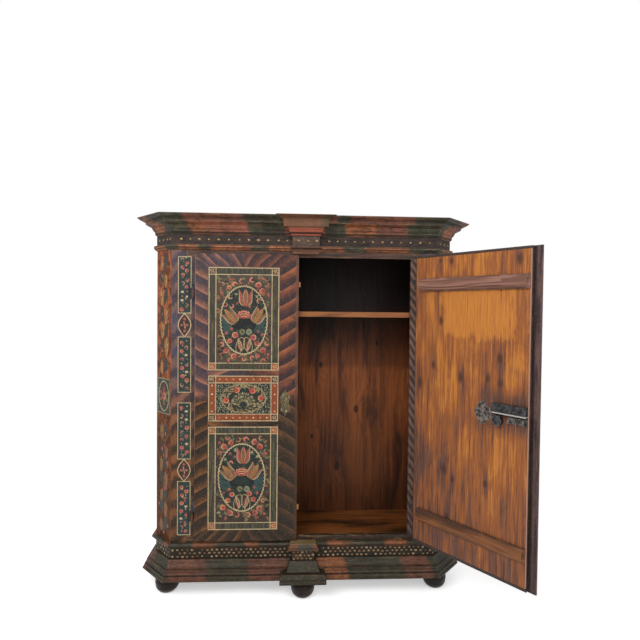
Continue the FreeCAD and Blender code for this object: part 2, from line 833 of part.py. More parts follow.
def knuckles(label, side, on_door):
    """Two hinge halves of one side: door halves with a bore, or frame halves with a pin."""
    halves = []
    pivot = hinge_x * side
    for place, low in (("upper", upper_hinge_low), ("lower", lower_hinge_low)):
        body = new_body(f"{label}_{place}")
        if on_door:
            start = low + knuckle_high
            leaf = box_points(lip_half * side, (lip_half + leaf_thick) * side,
                              -door_out + web_half, -web_half * 0.5)
            web = box_points((lip_half + leaf_thick * 0.5) * side, pivot,
                             -hinge_out - web_half, -hinge_out + web_half)
            high = knuckle_high
        else:
            start = low
            leaf = box_points(leaf_start * side, leaf_end * side, -leaf_thick, 0)
            web = box_points(pivot, pivot + web_half * (2 * side), -hinge_out, -leaf_thick * 0.5)
            high = knuckle_high - knuckle_gap
        pad(body, new_sketch(body, "XY_Plane", [leaf], start), high)
        barrel = new_sketch(body, "XY_Plane", [], start, [((pivot, -hinge_out), knuckle_radius)])
        pad(body, new_sketch(body, "XY_Plane", [web], start), high)
        pad(body, barrel, high)
        hole = [((pivot, -hinge_out), pin_radius + pin_gap)]
        if on_door:
            bored = new_sketch(body, "XY_Plane", [], start, hole)
            pocket(body, bored, pin_high + knuckle_gap, True)
        else:
            pin = [((pivot, -hinge_out), pin_radius)]
            pad(body, new_sketch(body, "XY_Plane", [], start + high, pin), pin_high)
        halves.append(body)
    group = doc.addObject("Part::Compound", label)
    group.Links = halves
    return group


# Escutcheon: a pierced leaf outline with a pointed foot and a keyhole.
leaf_shares = [
    (0.0, 1.0), (0.24, 0.90, 0.25), (0.62, 0.86), (1.0, 0.74, 0.3), (0.74, 0.62), (0.86, 0.50),
    (0.70, 0.40, 0.2), (0.94, 0.27, 0.3), (0.52, 0.16), (0.20, 0.10), (0.0, 0.0),
]
keyhole_shares = [(0.10, 0.56), (0.16, 0.40), (-0.16, 0.40), (-0.10, 0.56)]
pierced_shares = [(0.34, 0.70), (0.66, 0.72), (0.50, 0.62)]


def escutcheon(label, side):
    middle = escutcheon_middle * side

    def at(half_share, up_share):
        return middle + escutcheon_half * half_share, escutcheon_low + escutcheon_high * up_share

    outline = [at(half, up) + tuple(-b for b in bow) for half, up, *bow in leaf_shares]
    outline += [at(-half, up) + tuple(bow) for half, up, *bow in turned_round(leaf_shares)[1:-1]]
    loops = [outline, [at(h, u) for h, u in keyhole_shares]]
    loops += [[at(h * s, u) for h, u in pierced_shares] for s in (-1, 1)]
    return prism(label, "XZ_Plane", loops, door_out, plate_thick)


def slide(label, x, low, top, knob_share):
    """A flat sliding bolt with a round knob."""
    flat = box_points(x - slide_half, x + slide_half, low, top)
    body = prism(label, "XZ_Plane", [flat], -slide_in - slide_thick, slide_thick)
    middle = low + (top - low) * knob_share
    knob_end = -slide_in - slide_thick - knob_long
    knob = new_sketch(body, "XZ_Plane", [], knob_end, [((x, middle), knob_radius)])
    pad(body, knob, knob_long)
    return body


def staple(name, x, low):
    """An iron bridge on the door that holds a sliding bolt."""
    outer = box_points(x - slide_half - strap_thick, x + slide_half + strap_thick,
                       door_in, slide_in + slide_thick + bolt_gap + strap_thick)
    hole = box_points(x - slide_half - bolt_gap, x + slide_half + bolt_gap,
                      slide_in - bolt_gap, slide_in + slide_thick + bolt_gap)
    return prism(name, "XY_Plane", [outer, hole], low, staple_high)


# Left door. It carries the two bolts and stays shut while the right door is open.
left_boards = door_boards("left_door_boards", -1, left_edge)
mortise = box_points(-left_edge - mortise_deep, -left_edge, mortise_middle - mortise_half,
                     mortise_middle + mortise_half)
pocket(left_boards, new_sketch(left_boards, "XY_Plane", [mortise], mortise_top - mortise_high),
       mortise_high, True)
for name, low in (("top", top_batten_low), ("bottom", bottom_batten_low)):
    body = new_body(f"left_door_batten_{name}")
    profile = new_sketch(body, "YZ_Plane", [batten_profile(low)], -batten_half)
    pad(body, profile, batten_half - left_edge)
    tongue(body, low, left_tongue_in, batten_out, -left_edge - strap_thick,
           left_edge - left_tongue + strap_thick, 0.4)
knuckles("left_door_hinges", -1, True)
escutcheon("left_door_escutcheon", -1)
slide("left_door_top_bolt", -slide_x, top_slide_low, top_slide_top, 0.42)
slide("left_door_bottom_bolt", -slide_x, bottom_slide_low, bottom_slide_top, 0.58)
irons = [
    staple("staple_1", -slide_x, top_slide_low + staple_inset),
    staple("staple_2", -slide_x, top_slide_top - staple_inset - staple_high),
    staple("staple_3", -slide_x, bottom_slide_low + staple_inset),
    staple("staple_4", -slide_x, bottom_slide_top - staple_inset - staple_high),
]
bolt_inner = door_in + bolt_gap * 2
bolt_outer = bolt_inner + bolt_thick
lock_bolt_top = lock_bolt_low + lock_bolt_high
keeper_outer = box_points(door_in, bolt_outer + bolt_gap + strap_thick,
                          lock_bolt_low - bolt_gap - strap_thick, lock_bolt_top + bolt_gap + strap_thick)
keeper_hole = box_points(bolt_inner - bolt_gap, bolt_outer + bolt_gap,
                         lock_bolt_low - bolt_gap, lock_bolt_top + bolt_gap)
irons.append(prism("keeper", "YZ_Plane", [keeper_outer, keeper_hole], -keeper_far,
                   keeper_far - keeper_near))
left_irons = doc.addObject("Part::Compound", "left_door_irons")
left_irons.Links = irons

# Right door: boards, battens, the lesene over the meeting line and the rim lock.
door_boards("right_door_boards", 1, -right_edge)
for name, low in (("top", top_batten_low), ("bottom", bottom_batten_low)):
    body = new_body(f"right_door_batten_{name}")
    profile = new_sketch(body, "YZ_Plane", [batten_profile(low)], -batten_shoulder)
    pad(body, profile, batten_half + batten_shoulder)
    tongue(body, low, door_in, right_tongue_out, -right_tongue, right_tongue - batten_shoulder, 1)
lesene_outline = [
    (lesene_half, -door_out),
    (-right_edge, -door_out),
    (-right_edge, -door_out - lesene_gap),
    (-lesene_half, -door_out - lesene_gap),
    (-lesene_half, -door_out - lesene_edge),
    (-lesene_half + lesene_edge * 0.8, -lesene_out + worn_arris),
    (-lesene_half + lesene_edge * 1.5, -lesene_out),
    (lesene_half - lesene_edge * 1.5, -lesene_out),
    (lesene_half - lesene_edge * 0.8, -lesene_out + worn_arris),
    (lesene_half, -door_out - lesene_edge),
]
prism("right_door_lesene", "XY_Plane", [lesene_outline], lip_low, lip_top - lip_low)
knuckles("right_door_hinges", 1, True)
escutcheon("right_door_escutcheon", 1)

lock_case = new_body("lock_case")
stack(lock_case, "XZ_Plane", [
    (-door_in, box_points(-lock_case_near, lock_case_far, lock_case_low, lock_case_top)),
    (-door_in - lock_proud + lock_chamfer,
     box_points(-lock_case_near, lock_case_far, lock_case_low, lock_case_top)),
    (-door_in - lock_proud,
     box_points(-lock_case_near + lock_chamfer, lock_case_far - lock_chamfer,
                lock_case_low + lock_chamfer, lock_case_top - lock_chamfer)),
])
boss_round = [((boss_x, boss_z), boss_radius)]
pad(lock_case, new_sketch(lock_case, "XZ_Plane", [], -door_in - lock_proud, boss_round), lock_proud)
neck_half = boss_radius * 0.6
neck_proud = lock_proud * 0.6
neck = box_points(boss_x - neck_half, boss_x + neck_half, boss_z, lock_case_low + lock_chamfer)
pad(lock_case, new_sketch(lock_case, "XZ_Plane", [neck], -door_in - neck_proud), neck_proud)
for start in (strap_far, -strap_near):
    outer = box_points(door_in, bolt_outer + bolt_gap + strap_thick,
                       lock_bolt_low - bolt_gap - strap_thick, lock_case_low + lock_chamfer)
    pad(lock_case, new_sketch(lock_case, "YZ_Plane", [outer], start), strap_wide)
channel = box_points(bolt_inner - bolt_gap, bolt_outer + bolt_gap,
                     lock_bolt_low - bolt_gap, lock_bolt_top + bolt_gap)
channel_end = lock_bolt_far + bolt_gap
pocket(lock_case, new_sketch(lock_case, "YZ_Plane", [channel], channel_end), lock_bolt_far * 2)
flat = box_points(-lock_bolt_near, lock_bolt_far, lock_bolt_low, lock_bolt_top)
lock_bolt = prism("lock_bolt", "XZ_Plane", [flat], -bolt_outer, bolt_thick)
knob_at = (lock_bolt_far - knob_radius, lock_bolt_low + knob_radius)
knob = new_sketch(lock_bolt, "XZ_Plane", [], -bolt_outer - knob_long, [(knob_at, knob_radius)])
pad(lock_bolt, knob, knob_long)

# Lock plate: an engraved leaf beside the lock, fretted along its edge.
lock_leaf_shares = [
    (0.0, 0.62), (0.0, 0.38, -0.15), (0.30, 0.16, -0.25), (0.62, 0.0, -0.25), (0.78, 0.24, -0.2),
    (1.0, 0.40, -0.3), (1.0, 0.60, -0.2), (0.78, 0.76, -0.25), (0.62, 1.0, -0.25), (0.30, 0.84, -0.15),
]
plate_outline = [
    (lock_plate_start + lock_plate_long * along,
     lock_plate_middle + lock_plate_high * (up - 0.5), *(-b for b in bow))
    for along, up, *bow in lock_leaf_shares
]
prism("lock_plate", "XZ_Plane", [plate_outline], -door_in - plate_thick, plate_thick)

frame_halves = [knuckles(f"frame_halves_{name}", side, False) for name, side in sides]
frame_hinges = doc.addObject("Part::Compound", "frame_hinges")
frame_hinges.Links = frame_halves

# The right door and all it carries stand open, turned about its hinge pins.
right_nodes = [
    "right_door_boards", "right_door_batten_top", "right_door_batten_bottom", "right_door_lesene",
    "right_door_hinges", "right_door_escutcheon", "lock_case", "lock_bolt", "lock_plate",
]
for label in right_nodes:
    body = doc.getObject(label)
    bind(body, ".Placement.Rotation.Angle", rest_angle)
    cosine = "cos(Sizes.rest_angle * 1 deg)"
    sine = "sin(Sizes.rest_angle * 1 deg)"
    back_x = f"{hinge_x.formula} * (1 - {cosine}) - Sizes.hinge_out * {sine}"
    back_y = f"-Sizes.hinge_out * (1 - {cosine}) - {hinge_x.formula} * {sine}"
    body.setExpression(".Placement.Base.x", back_x)
    body.setExpression(".Placement.Base.y", back_y)

doc.recompute()
inside = {link.Name for group in doc.Objects if group.TypeId == "Part::Compound" for link in group.Links}
for thing in doc.Objects:
    if {"Invalid", "Error"} & set(thing.State):
        raise RuntimeError(f"{thing.Label} did not build: {thing.State}")
nodes = [thing for thing in doc.Objects
         if thing.TypeId in ("PartDesign::Body", "Part::Compound") and thing.Name not in inside]
for node in nodes:
    if node.Shape.isNull() or not node.Shape.isValid():
        raise RuntimeError(f"{node.Label} has no valid shape")
    node.Shape.exportStep(f"parts/{node.Label}.step")
    box = node.Shape.BoundBox
    print(f"{node.Label:28s} {len(node.Shape.Solids)} solids x {box.XMin:8.1f} {box.XMax:8.1f} "
          f"y {box.YMin:8.1f} {box.YMax:8.1f} z {box.ZMin:8.1f} {box.ZMax:8.1f}")
print(len(nodes), "nodes")
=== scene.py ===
import json
import math
import random

import bpy
from mathutils import Matrix, Vector


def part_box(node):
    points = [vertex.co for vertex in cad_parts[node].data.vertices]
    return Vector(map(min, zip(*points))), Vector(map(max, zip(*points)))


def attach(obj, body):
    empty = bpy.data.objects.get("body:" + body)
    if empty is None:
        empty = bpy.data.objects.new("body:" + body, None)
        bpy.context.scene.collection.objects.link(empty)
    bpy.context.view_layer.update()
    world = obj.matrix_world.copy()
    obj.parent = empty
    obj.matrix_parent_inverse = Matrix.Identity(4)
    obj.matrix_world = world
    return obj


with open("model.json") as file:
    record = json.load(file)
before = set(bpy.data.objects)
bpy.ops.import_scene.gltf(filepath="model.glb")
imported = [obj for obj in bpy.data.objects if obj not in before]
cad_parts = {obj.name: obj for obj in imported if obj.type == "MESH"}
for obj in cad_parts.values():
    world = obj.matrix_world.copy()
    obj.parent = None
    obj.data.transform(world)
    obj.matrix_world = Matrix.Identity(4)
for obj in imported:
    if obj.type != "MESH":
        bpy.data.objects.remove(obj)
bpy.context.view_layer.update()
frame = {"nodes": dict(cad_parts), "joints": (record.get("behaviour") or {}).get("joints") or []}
nodes = frame["nodes"]

# Ball feet: five turned balls of stained hardwood, each dowelled up into the plinth.
# The dark stain is rubbed through a little in patches.


class Value:
    """A number that varies over a surface: arithmetic on it adds Math nodes."""

    def __init__(self, finish, socket):
        self.finish = finish
        self.socket = socket

    def math(self, operation, *items):
        return self.finish.node("ShaderNodeMath", {"operation": operation}, dict(enumerate(items)))

    def __add__(self, other):
        return self.math("ADD", self, other)

    def __sub__(self, other):
        return self.math("SUBTRACT", self, other)

    def __rsub__(self, other):
        return self.math("SUBTRACT", other, self)

    def __mul__(self, other):
        return self.math("MULTIPLY", self, other)

    def __truediv__(self, other):
        return self.math("DIVIDE", self, other)

    def __abs__(self):
        return self.math("ABSOLUTE", self)

    __radd__ = __add__
    __rmul__ = __mul__

    def wave(self):
        return self.math("SINE", self * math.tau) * 0.5 + 0.5

    def top(self, other):
        return self.math("MAXIMUM", self, other)

    def low(self, other):
        return self.math("MINIMUM", self, other)

    def step(self, start, end):
        """0 below start, 1 above end, smooth between; start may be the larger."""
        flipped = start > end
        low, high = min(start, end), max(start, end)
        ramp = self.finish.node("ShaderNodeMapRange", {"interpolation_type": "SMOOTHSTEP"},
                                {"Value": self, "From Min": low, "From Max": high})
        return 1 - ramp if flipped else ramp


def pigment(code):
    """A colour written as it looks on screen, turned into the linear values of a shader."""
    channels = [int(code[i:i + 2], 16) / 255 for i in (0, 2, 4)]
    return tuple(c / 12.92 if c <= 0.04045 else ((c + 0.055) / 1.055) ** 2.4 for c in channels) + (1,)


class Finish:
    """A procedural material, laid out by Object coordinates or by those moved as asked."""

    def __init__(self, name, moved=None):
        self.material = bpy.data.materials.new(name)
        self.material.use_nodes = True
        self.tree = self.material.node_tree
        self.shader = self.tree.nodes["Principled BSDF"]
        self.place = self.node("ShaderNodeTexCoord", output="Object")
        if moved:
            self.place = self.node("ShaderNodeMapping", None, {"Vector": self.place, **moved})
        self.x, self.y, self.z = (
            self.node("ShaderNodeSeparateXYZ", None, {0: self.place}, axis) for axis in range(3))

    def node(self, kind, settings=None, inputs=None, output=0):
        made = self.tree.nodes.new(kind)
        for key, item in (settings or {}).items():
            if key == "stops":
                ramp = made.color_ramp
                for at, (position, code) in enumerate(item):
                    stop = ramp.elements[at] if at < 2 else ramp.elements.new(position)
                    stop.position = position
                    stop.color = pigment(code)
            else:
                setattr(made, key, item)
        for key, item in (inputs or {}).items():
            if isinstance(item, Value):
                self.tree.links.new(item.socket, made.inputs[key])
            else:
                made.inputs[key].default_value = item
        return Value(self, made.outputs[output])

    def noise(self, stretch, detail=4, rough=0.55, twist=0.0, shift=0.0, where=None):
        """Noise between about 0.2 and 0.8, with so many features per metre along X, Y and Z."""
        vector = self.node("ShaderNodeMapping", None, {
            "Vector": where or self.place, "Scale": stretch, "Location": (shift, shift * 1.7, shift * 0.6)})
        return self.node("ShaderNodeTexNoise", None, {
            "Vector": vector, "Scale": 1.0, "Detail": detail, "Roughness": rough, "Distortion": twist})

    def blend(self, share, first, second):
        """Mix two colours; each is a value or a six-digit code."""
        first, second = (pigment(tone) if isinstance(tone, str) else tone for tone in (first, second))
        return self.node("ShaderNodeMix", {"data_type": "RGBA"}, {0: share, 6: first, 7: second}, 2)

    def edges(self, reach):
        """1 on arrises, from how far a rounded normal leans away from the true one."""
        rounded = self.node("ShaderNodeBevel", {"samples": 6}, {"Radius": reach})
        true = self.node("ShaderNodeNewGeometry", output="True Normal")
        dot = self.node("ShaderNodeVectorMath", {"operation": "DOT_PRODUCT"}, {0: rounded, 1: true}, 1)
        return (1 - dot).step(0.02, 0.16)

    def close(self, colour, roughness, height=None, depth=0.0006, gloss=0.2, **constants):
        """Feed the shader. Numbers that are the same all over sit on its own sockets."""
        for key, item in {"Base Color": colour, "Roughness": roughness}.items():
            if isinstance(item, Value):
                self.tree.links.new(item.socket, self.shader.inputs[key])
            else:
                self.shader.inputs[key].default_value = item
        if height is not None:
            bump = self.node("ShaderNodeBump", None, {"Height": height, "Distance": depth, "Strength": 1.0})
            self.tree.links.new(bump.socket, self.shader.inputs["Normal"])
        self.shader.inputs["Specular IOR Level"].default_value = gloss
        for key, item in constants.items():
            self.shader.inputs[key.replace("_", " ").title()].default_value = item
        return self.material


def dress(material, *names):
    """Put a material on CAD nodes, in every slot they have."""
    for name in names:
        for slot in nodes[name].material_slots:
            slot.material = material


ball = Finish("dark_turned_wood")
rings = ball.noise((6, 6, 90), 3, 0.5, 0.2)
rubbed = ball.noise((14, 14, 22), 5, 0.6, 0.4).step(0.55, 0.75)
stain = ball.blend(rings, "0f0a07", "241a12")
stain = ball.blend(rubbed * 0.5, stain, "4a3522")
dress(ball.close(stain, rings * 0.2 + 0.26, rings + rubbed * 0.3, 0.0004, gloss=0.16),
      "foot_front_left", "foot_front_right", "foot_centre", "feet_rear")

# Plinth and crown mouldings: pine lengths mitred at the cants and nailed on.
# They are marbled in blocks of green and red-brown oil paint, block by block along the run.

GREENS = ("3a3c2f", "545240", "24251d")
REDS = ("74483a", "8c5a47", "432c25")
ORANGES = ("935738", "b0714a", "57392a")
PINKS = ("905542", "a66b53", "644236")

# Painted shadow lines where one profile meets the next: level, half height and strength.
CREASE_SHADOWS = [(1.8365, 0.003, 0.4), (1.8200, 0.0075, 0.95), (1.8085, 0.003, 0.5), (1.7565, 0.0042, 0.8),
           (1.745, 0.0042, 0.8), (0.250, 0.0042, 0.8), (0.237, 0.0042, 0.8), (0.186, 0.0042, 0.8),
           (0.145, 0.0042, 0.7), (0.121, 0.005, 0.8), (0.099, 0.0042, 0.7)]


def worn_and_shaded(finish, colour, dirt=0.6, rub=0.6):
    """Age a paint: painted shade towards the floor, painted shadow lines in the creases, grime in patches,
    fine scratches, rubbed arrises.
    """
    # Painted shade: darker towards the floor, as the light falls from above.
    colour = finish.blend(finish.z.step(1.2, 0.1) * 0.40, colour, "15120a")
    # Painted shadow lines in the creases between profiles.
    for level, reach, share in CREASE_SHADOWS:
        crease_shadow = abs(finish.z - level).step(reach, reach * 0.2) * share
        colour = finish.blend(crease_shadow, colour, "0e0b09")
    patches = finish.noise((9, 9, 7), 6, 0.65, 0.6, 3.1).step(0.42, 0.72)
    colour = finish.blend(patches * dirt, colour, "1b1511")
    fine = finish.noise((260, 260, 240), 2, 0.6, 0.0, 8.0)
    colour = finish.blend(fine.step(0.56, 0.72) * 0.28, colour, "0f0c0a")
    colour = finish.blend(fine.step(0.44, 0.30) * 0.22, colour, "9a7a55")
    rubbed = finish.edges(0.004) * finish.noise((30, 30, 24), 4, 0.6, 0.3, 5.0).step(0.40, 0.62)
    return finish.blend(rubbed * rub * 0.6, colour, "927860"), fine, patches


def blocks(finish, along, level, stops, low, high):
    """Blocks of paint along a run, with edges that lean and wander like a brush."""
    drift = finish.noise((26, 26, 48), 4, 0.65, 0.8, 1.0) - 0.5
    at = (along + (finish.z - level) * 0.25 + drift * 0.055 - low) / (high - low)
    tone = finish.noise((38, 38, 90), 5, 0.65, 1.2, 2.0)
    soft = 0.007 / (high - low)
    layers = []
    for shade in range(3):
        ramp = [(0.0, stops[0][1][shade])]
        for (_, before), (place, after) in zip(stops, stops[1:]):
            middle = (place - low) / (high - low)
            ramp += [(max(middle - soft, 0), before[shade]), (min(middle + soft, 1), after[shade])]
        layers.append(finish.node("ShaderNodeValToRGB", {"stops": ramp}, {0: at}))
    colour = finish.blend(tone.step(0.50, 0.66), layers[0], layers[1])
    colour = finish.blend(tone.step(0.46, 0.34), colour, layers[2])
    brown = finish.noise((20, 20, 60), 5, 0.65, 1.0, 6.0).step(0.53, 0.66)
    colour = finish.blend(brown * 0.6, colour, "553a2c")
    rubbed = finish.noise((6, 6, 190), 4, 0.6, 0.2, 9.0)
    colour = finish.blend(rubbed.step(0.56, 0.66) * 0.5, colour, "84694a")
    return finish.blend(rubbed.step(0.44, 0.34) * 0.7, colour, "15110e")


def moulding_finish(name, front_stops, return_stops):
    """One material for the front, laid out by X, and one for the cants and sides by their length."""
    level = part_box(f"{name}_front")[0][2]
    for part, stops, low, high in (("front", front_stops, -0.82, 0.82),
                                   ("return", return_stops, 0.60, 1.16)):
        paint = Finish(f"{name}_{part}_paint")
        along = paint.x if part == "front" else abs(paint.x) + paint.y
        colour, fine, patches = worn_and_shaded(paint, blocks(paint, along, level, stops, low, high))
        material = paint.close(colour, fine * 0.25 + 0.38, fine + patches * 0.4, 0.0003)
        runs = ("front",) if part == "front" else ("left", "right")
        dress(material, *(f"{name}_{run}" for run in runs))


# Where each block of paint begins, in metres along the run, and which it is.
G, R, O, P = GREENS, REDS, ORANGES, PINKS
moulding_finish("base_moulding", [
    (-0.82, G), (-0.665, R), (-0.472, G), (-0.263, R), (-0.063, G), (0.082, O), (0.235, G),
    (0.522, R), (0.66, G)], [(0.60, G), (0.85, R), (0.95, G), (1.05, R)])
moulding_finish("plinth_cap", [
    (-0.82, G), (-0.55, O), (-0.432, G), (-0.283, O), (-0.215, G), (0.13, O), (0.235, G),
    (0.42, O), (0.54, G)], [(0.60, O), (0.72, G), (0.86, R), (0.97, G), (1.06, R)])
moulding_finish("cavetto", [
    (-0.82, G), (-0.565, O), (-0.500, P), (-0.278, G), (-0.098, P), (0.103, G), (0.206, O),
    (0.36, R), (0.519, G)], [(0.60, G), (0.725, O), (0.84, R), (0.90, G), (1.0, R)])
moulding_finish("cornice_cap", [
    (-0.82, G), (-0.592, R), (-0.305, G), (-0.117, R), (0.158, G), (0.224, R), (0.541, G)],
    [(0.60, G), (0.80, R), (0.95, G), (1.05, R)])
moulding_finish("architrave", [
    (-0.82, G), (-0.632, O), (-0.528, G), (-0.471, O), (-0.269, G), (-0.181, O), (0.192, G),
    (0.30, O), (0.523, G)], [(0.60, G), (0.72, O), (0.87, G), (1.0, O)])

# Plinth and crown boards behind the mouldings: a dark frieze round all three faces.
# Brush dots in cream and orange run along it.

frieze = Finish("dark_frieze_paint")
tone = frieze.noise((18, 18, 50), 5, 0.6, 0.6).step(0.36, 0.64)
ground = frieze.blend(tone, "1d1817", "3b2d28")
plinth_ground = frieze.blend(tone, "171812", "2d2519")
ground = frieze.blend(frieze.z.step(0.60, 0.50), ground, plinth_ground)
ground, fine, patches = worn_and_shaded(frieze, ground, 0.5, 0.15)
dress(frieze.close(ground, fine * 0.2 + 0.46, fine, 0.0003, gloss=0.18),
      "frieze_board_front", "frieze_board_left", "frieze_board_right",
      "plinth_board_front", "plinth_board_left", "plinth_board_right")

# Centre blocks: pine blocks under the meeting line that break the mouldings forward.
# Each is cut in tiers, painted tier by tier, and nailed to the frieze board behind it.


def tier_paint(name, node_name, tiers):
    """Tiers are listed upwards, each with the height at which it begins."""
    block = Finish(name)
    colour = tiers[0][1]
    for level, tone_colour in tiers[1:]:
        colour = block.blend(block.z.step(level - 0.0012, level + 0.0012), colour, tone_colour)
    tone = block.noise((40, 40, 70), 5, 0.65, 1.0)
    colour = block.blend(tone.step(0.48, 0.66) * 0.5, colour, "74543c")
    rubbed = block.noise((7, 7, 170), 4, 0.6, 0.2, 9.0)
    colour = block.blend(rubbed.step(0.44, 0.32) * 0.25, colour, "1b1410")
    colour = block.blend(rubbed.step(0.58, 0.68) * 0.4, colour, "8a6a4a")
    across = block.x + (block.noise((30, 30, 30), 3) - 0.5) * 0.02
    plinth_patch = across.step(-0.030, -0.022) * across.step(0.052, 0.046)
    plinth_patch = plinth_patch * block.z.step(0.237, 0.239) * block.z.step(0.2685, 0.2665)
    colour = block.blend(plinth_patch * 0.9, colour, "45463a")
    crown_patch = across.step(0.060, 0.105) * block.z.step(1.80, 1.86)
    colour = block.blend(crown_patch * 0.6, colour, "3a4434")
    colour, fine, patches = worn_and_shaded(block, colour, 0.45, 0.8)
    dress(block.close(colour, fine * 0.2 + 0.4, fine + patches * 0.3, 0.0003), node_name)


tier_paint("crown_block_paint", "crown_centre_block", [
    (0, "5c3b2e"), (1.7515, "463f33"), (1.757, "41342e"),
    (1.8085, "ab5a45"), (1.842, "6d4936")])
tier_paint("plinth_block_paint", "plinth_centre_block", [
    (0, "2c3022"), (0.142, "2f3225"), (0.187, "2a2418"),
    (0.238, "7a4a32"), (0.2675, "8a744e")])

# Case outside: stiles, cants and sides of pine, marbled in purple-brown and red-brown.
# The rails are grained plain brown. The strip by the opening has slanting leaf strokes.

stile = Finish("stile_paint")
dx = abs(stile.x)
sway = (stile.noise((16, 16, 7), 4, 0.6, 0.6) - 0.5) * 0.09
flame = ((stile.z + dx * 0.7 + sway) / 0.094).wave()
streaks = stile.noise((90, 90, 26), 6, 0.70, 0.9, 4.0)
blue = stile.noise((9, 9, 6), 3, 0.5, 0.5, 2.0)
flame = flame + (streaks - 0.5) * 1.4
upper = stile.blend(flame.step(0.15, 0.95), "3d3640", "674e49")
upper = stile.blend(blue.step(0.5, 0.7) * 0.5, upper, "45445a")
lower = stile.blend(flame.step(0.15, 0.95), "3b2a1e", "82502f")
colour = stile.blend(stile.z.step(1.25, 0.75), upper, lower)
colour = stile.blend(streaks.step(0.56, 0.7) * 0.45, colour, "84564a")
colour = stile.blend(streaks.step(0.45, 0.3) * 0.4, colour, "241c20")
leaf = ((stile.z + dx * 1.5 + sway * 0.45) / 0.05).wave() + (streaks - 0.5) * 0.9
leaf_tone = stile.blend(leaf.step(0.15, 0.80), "785a4c", "3e3233")
left_tone = stile.blend(0.45, colour, "1a1618")
margin_tone = stile.blend(stile.x.step(-0.01, 0.01), left_tone, leaf_tone)
colour = stile.blend(dx.step(0.571, 0.568), colour, margin_tone)
colour, fine, patches = worn_and_shaded(stile, colour, 0.4, 0.8)
dress(stile.close(colour, fine * 0.2 + 0.36, fine + patches * 0.3, 0.0003),
      "front_stile_left", "front_stile_right", "frame_hinges")

rail = Finish("rail_paint")
grain = rail.noise((5, 60, 110), 5, 0.6, 0.8)
colour = rail.blend(grain.step(0.38, 0.64), "2c2320", "5f4032")
colour = rail.blend(rail.z.step(0.60, 0.50) * 0.7, colour, "2a2118")
bare_wood = rail.noise((9, 30, 60), 5, 0.65, 0.6, 3.0).step(0.54, 0.66) * rail.z.step(0.60, 0.50)
colour = rail.blend(bare_wood, colour, "8a6f4c")
colour, fine, patches = worn_and_shaded(rail, colour, 0.4, 1.0)
dress(rail.close(colour, fine * 0.2 + 0.4, fine + grain, 0.0003), "head_rail", "bottom_rail")

cant = Finish("cant_paint")
marble = cant.noise((13, 13, 8), 6, 0.62, 2.2)
colour = cant.blend(marble.step(0.42, 0.60), "633626", "a05c3b")
shadow = cant.noise((24, 24, 11), 5, 0.62, 2.0, 7.0).step(0.50, 0.62)
colour = cant.blend(shadow * 0.8, colour, "2d231c")
glow = cant.noise((20, 20, 9), 5, 0.62, 2.0, 3.0).step(0.54, 0.66)
colour = cant.blend(glow * 0.7, colour, "b56d3c")
# Painted shade: the cant is darker below about a metre.
colour = cant.blend(cant.z.step(1.05, 0.85) * 0.5, colour, "34220f")
colour, fine, patches = worn_and_shaded(cant, colour, 0.4, 0.6)
cant_material = cant.close(colour, fine * 0.2 + 0.45, fine + patches * 0.3, 0.0003, gloss=0.06)
dress(cant_material, "cant_board_left", "cant_board_right")

sides = Finish("side_paint")
slant = (sides.z + sides.y * 0.8 + (sides.noise((3, 9, 6), 5, 0.65, 1.0) - 0.5) * 0.20) / 0.13
streaks = sides.noise((40, 60, 18), 6, 0.70, 0.8, 2.0)
slant = slant.wave() + (streaks - 0.5) * 1.5
colour = sides.blend(slant.step(-0.1, 1.1), "3c2822", "5a392a")
colour = sides.blend(streaks.step(0.55, 0.7) * 0.4, colour, "6b4836")
colour, fine, patches = worn_and_shaded(sides, colour, 0.4, 0.8)
dress(sides.close(colour, fine * 0.2 + 0.4, fine + patches * 0.3, 0.0003),
      "side_board_left", "side_board_right")

# Bare pine inside and behind: back boards, floor, shelf, roof and rails.
# With age it went orange-brown; inside, the top of the back is darker with painted shade.

# Knots: across, along and radius, in metres.
KNOTS_BACK = [(0.10, 1.12, 0.011), (0.31, 0.86, 0.014), (0.43, 1.25, 0.010), (0.20, 0.52, 0.015),
              (-0.18, 0.95, 0.012), (-0.44, 0.62, 0.013), (0.36, 1.62, 0.012), (0.05, 0.70, 0.009)]


def pine(finish, across, along, depth, knots, pale, warm, dark):
    """Flat-sawn pine with its rings drawn out along the board and bent round its knots."""
    bend = eyes = None
    for u, v, radius in knots:
        du = (across - u) / radius
        dv = (along - v) / (radius * 1.7)
        distance = (du * du + dv * dv).math("SQRT", du * du + dv * dv)
        near = distance.step(6.0, 0.6)
        eye = distance.step(1.15, 0.75)
        bend = near if bend is None else bend.top(near)
        eyes = eye if eyes is None else eyes.top(eye)
    where = finish.node("ShaderNodeCombineXYZ", None, {0: across, 1: depth, 2: along})
    sway = finish.noise((9, 9, 1.1), 3, 0.5, 0.0, 2.0, where)
    rings = across * 40 + sway * 7
    if bend is not None:
        rings = rings + bend * 1.6
    ring = (rings - rings.math("FLOOR", rings)).step(0.15, 0.95)
    fibre = finish.noise((300, 300, 7), 4, 0.65, 0.0, 4.0, where)
    streak = finish.noise((60, 60, 2.2), 5, 0.7, 0.2, 11.0, where)
    grained = ring * 0.4 + fibre.step(0.35, 0.65) * 0.35 + streak.step(0.4, 0.6) * 0.35
    colour = finish.blend(grained, pale, warm)
    colour = finish.blend(streak.step(0.54, 0.66) * 0.5, colour, dark)
    patina = finish.noise((9, 9, 1.5), 5, 0.62, 0.5, 6.0, where)
    colour = finish.blend(patina.step(0.46, 0.68), colour, dark)
    if eyes is not None:
        colour = finish.blend(eyes * 0.85, colour, "1e0e07")
    return colour, ring * 0.4 + fibre * 0.6


